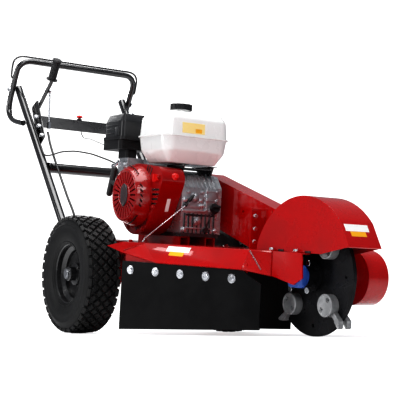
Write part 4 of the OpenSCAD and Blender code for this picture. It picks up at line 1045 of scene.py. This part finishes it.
class GRINDER_OT_cables(bpy.types.Operator):
    """Builds the brake cable, the throttle cable and the stop wire"""
    bl_idname = "grinder.cables"
    bl_label = "Cables"

    def execute(self, context):
        for node, (radius, reach, steps, corners) in CABLES.items():
            line = [PLACE @ p for p in bent(corners, reach, steps)]
            curve = bpy.data.curves.new(node + "_piece", "CURVE")
            curve.dimensions = "3D"
            curve.bevel_depth = radius / 1000
            curve.bevel_resolution = 5
            curve.use_fill_caps = True
            spline = curve.splines.new("POLY")
            spline.points.add(len(line) - 1)
            for point, place in zip(spline.points, line):
                point.co = (*place, 1)
            spline.use_smooth = True
            curve.materials.append(FINISH["cable_black"])
            piece = bpy.data.objects.new(node + "_piece", curve)
            context.scene.collection.objects.link(piece)
            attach(piece, BODY_OF[node])
            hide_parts(node)
        return {"FINISHED"}


# ---------------------------------------------------------------- studio
class GRINDER_OT_stage(bpy.types.Operator):
    """Builds the plain floor, the soft lights and the camera"""
    bl_idname = "grinder.stage"
    bl_label = "Studio"

    def execute(self, context):
        studio = context.scene.grinder_studio
        bm = bmesh.new()
        bmesh.ops.create_grid(bm, x_segments=2, y_segments=2, size=60)
        material = bpy.data.materials.new("Studio floor")
        material.use_nodes = True
        tree = material.node_tree
        # Painted glow: the floor's emission, seen by the camera only, grows away from the machine until the
        # floor is as bright as the backdrop.
        away = tree.nodes.new("ShaderNodeVectorMath")
        away.operation = "LENGTH"
        tree.links.new(object_point(tree), away.inputs[0])
        seen = tree.nodes.new("ShaderNodeLightPath").outputs["Is Camera Ray"]
        painted_floor_glow = spread(tree, away.outputs["Value"], 0.8, 3.0, 0.42, 0.95)
        feed(tree, tree.nodes["Principled BSDF"], {
            "Base Color": (*studio.floor, 1), "Roughness": 0.22, "Specular IOR Level": 0.5,
            "Emission Color": (1, 1, 1, 1), "Emission Strength": maths(tree, "MULTIPLY", painted_floor_glow, seen)})
        mesh = bpy.data.meshes.new("floor")
        bm.to_mesh(mesh)
        bm.free()
        mesh.materials.append(material)
        floor = bpy.data.objects.new("floor", mesh)
        context.scene.collection.objects.link(floor)
        world = bpy.data.worlds.new("Studio")
        context.scene.world = world
        world.use_nodes = True
        tree = world.node_tree
        tree.nodes.clear()
        seen = tree.nodes.new("ShaderNodeLightPath").outputs["Is Camera Ray"]
        mix = tree.nodes.new("ShaderNodeMixShader")
        fill, back = tree.nodes.new("ShaderNodeBackground"), tree.nodes.new("ShaderNodeBackground")
        feed(tree, fill, {"Color": (0.90, 0.93, 1.0, 1), "Strength": 0.20})
        feed(tree, back, {"Color": (1, 1, 1, 1), "Strength": 1.05})
        feed(tree, mix, {0: seen, 1: fill.outputs[0], 2: back.outputs[0]})
        tree.links.new(mix.outputs[0], tree.nodes.new("ShaderNodeOutputWorld").inputs["Surface"])
        for name, place, aim, size, share in (
                ("key", (0.3, -0.4, 3.2), (0.0, 0.0, 0.4), (2.6, 2.6), 1.0),
                ("front", (3.2, -1.6, 1.5), (0.6, 0.0, 0.4), (0.6, 2.0), 0.22),
                ("side", (-1.2, -3.2, 1.3), (0.0, 0.0, 0.4), (0.8, 1.8), 0.26),
                ("rear", (-3.2, 0.5, 2.3), (0.2, -0.2, 0.4), (2.0, 1.6), 0.55)):
            light = bpy.data.lights.new(name, "AREA")
            light.shape = "RECTANGLE"
            light.size, light.size_y = size
            light.energy = studio.key_power * share
            lamp = bpy.data.objects.new(name, light)
            lamp.location = place
            lamp.rotation_euler = (Vector(aim) - Vector(place)).to_track_quat("-Z", "Y").to_euler()
            context.scene.collection.objects.link(lamp)
        right = Vector((math.cos(EYE_TURN), math.sin(EYE_TURN), 0))
        look = Vector((-math.sin(EYE_TURN) * math.cos(EYE_RISE), math.cos(EYE_TURN) * math.cos(EYE_RISE),
                       math.sin(EYE_RISE)))
        up = right.cross(look)
        camera = bpy.data.cameras.new("camera")
        camera.lens = studio.focal
        camera.sensor_width = 36
        camera.clip_end = 200
        eye = bpy.data.objects.new("camera", camera)
        spin = Matrix((right, up, -look)).transposed().to_4x4()
        eye.matrix_world = Matrix.Translation((AXLE.x + EYE[0], *EYE[1:])) @ spin
        context.scene.collection.objects.link(eye)
        context.scene.camera = eye
        context.scene.view_settings.view_transform = "Standard"
        context.scene.view_settings.look = "High Contrast"
        return {"FINISHED"}


class GRINDER_PT_panel(bpy.types.Panel):
    """Lists the machine's pieces and its settings"""
    bl_idname = "GRINDER_PT_panel"
    bl_label = "Stump grinder"
    bl_space_type = "VIEW_3D"
    bl_region_type = "UI"
    bl_category = "Grinder"

    def draw(self, context):
        for group in (context.scene.grinder_paint, context.scene.grinder_wheel,
                      context.scene.grinder_trim, context.scene.grinder_studio):
            box = self.layout.box()
            for name in group.__annotations__:
                box.prop(group, name)
        for operator in OPERATORS:
            self.layout.operator(operator.bl_idname)


SETTINGS = (PaintSettings, WheelSettings, TrimSettings, StudioSettings)
OPERATORS = (GRINDER_OT_stage, GRINDER_OT_cables, GRINDER_OT_deck, GRINDER_OT_hood, GRINDER_OT_guard,
             GRINDER_OT_flaps, GRINDER_OT_wheels, GRINDER_OT_engine_case, GRINDER_OT_starter,
             GRINDER_OT_tank, GRINDER_OT_intake, GRINDER_OT_cutter, GRINDER_OT_handle,
             GRINDER_OT_controls)


def register():
    for cls in (*SETTINGS, *OPERATORS, GRINDER_PT_panel):
        bpy.utils.register_class(cls)
    bpy.types.Scene.grinder_paint = PointerProperty(type=PaintSettings)
    bpy.types.Scene.grinder_wheel = PointerProperty(type=WheelSettings)
    bpy.types.Scene.grinder_trim = PointerProperty(type=TrimSettings)
    bpy.types.Scene.grinder_studio = PointerProperty(type=StudioSettings)


def unregister():
    for name in ("grinder_paint", "grinder_wheel", "grinder_trim", "grinder_studio"):
        delattr(bpy.types.Scene, name)
    for cls in reversed((*SETTINGS, *OPERATORS, GRINDER_PT_panel)):
        bpy.utils.unregister_class(cls)


def main():
    register()
    make_finishes(bpy.context.scene.grinder_paint)
    for operator in OPERATORS:
        group, name = operator.bl_idname.split(".")
        getattr(getattr(bpy.ops, group), name)()


if __name__ == "__main__":
    main()
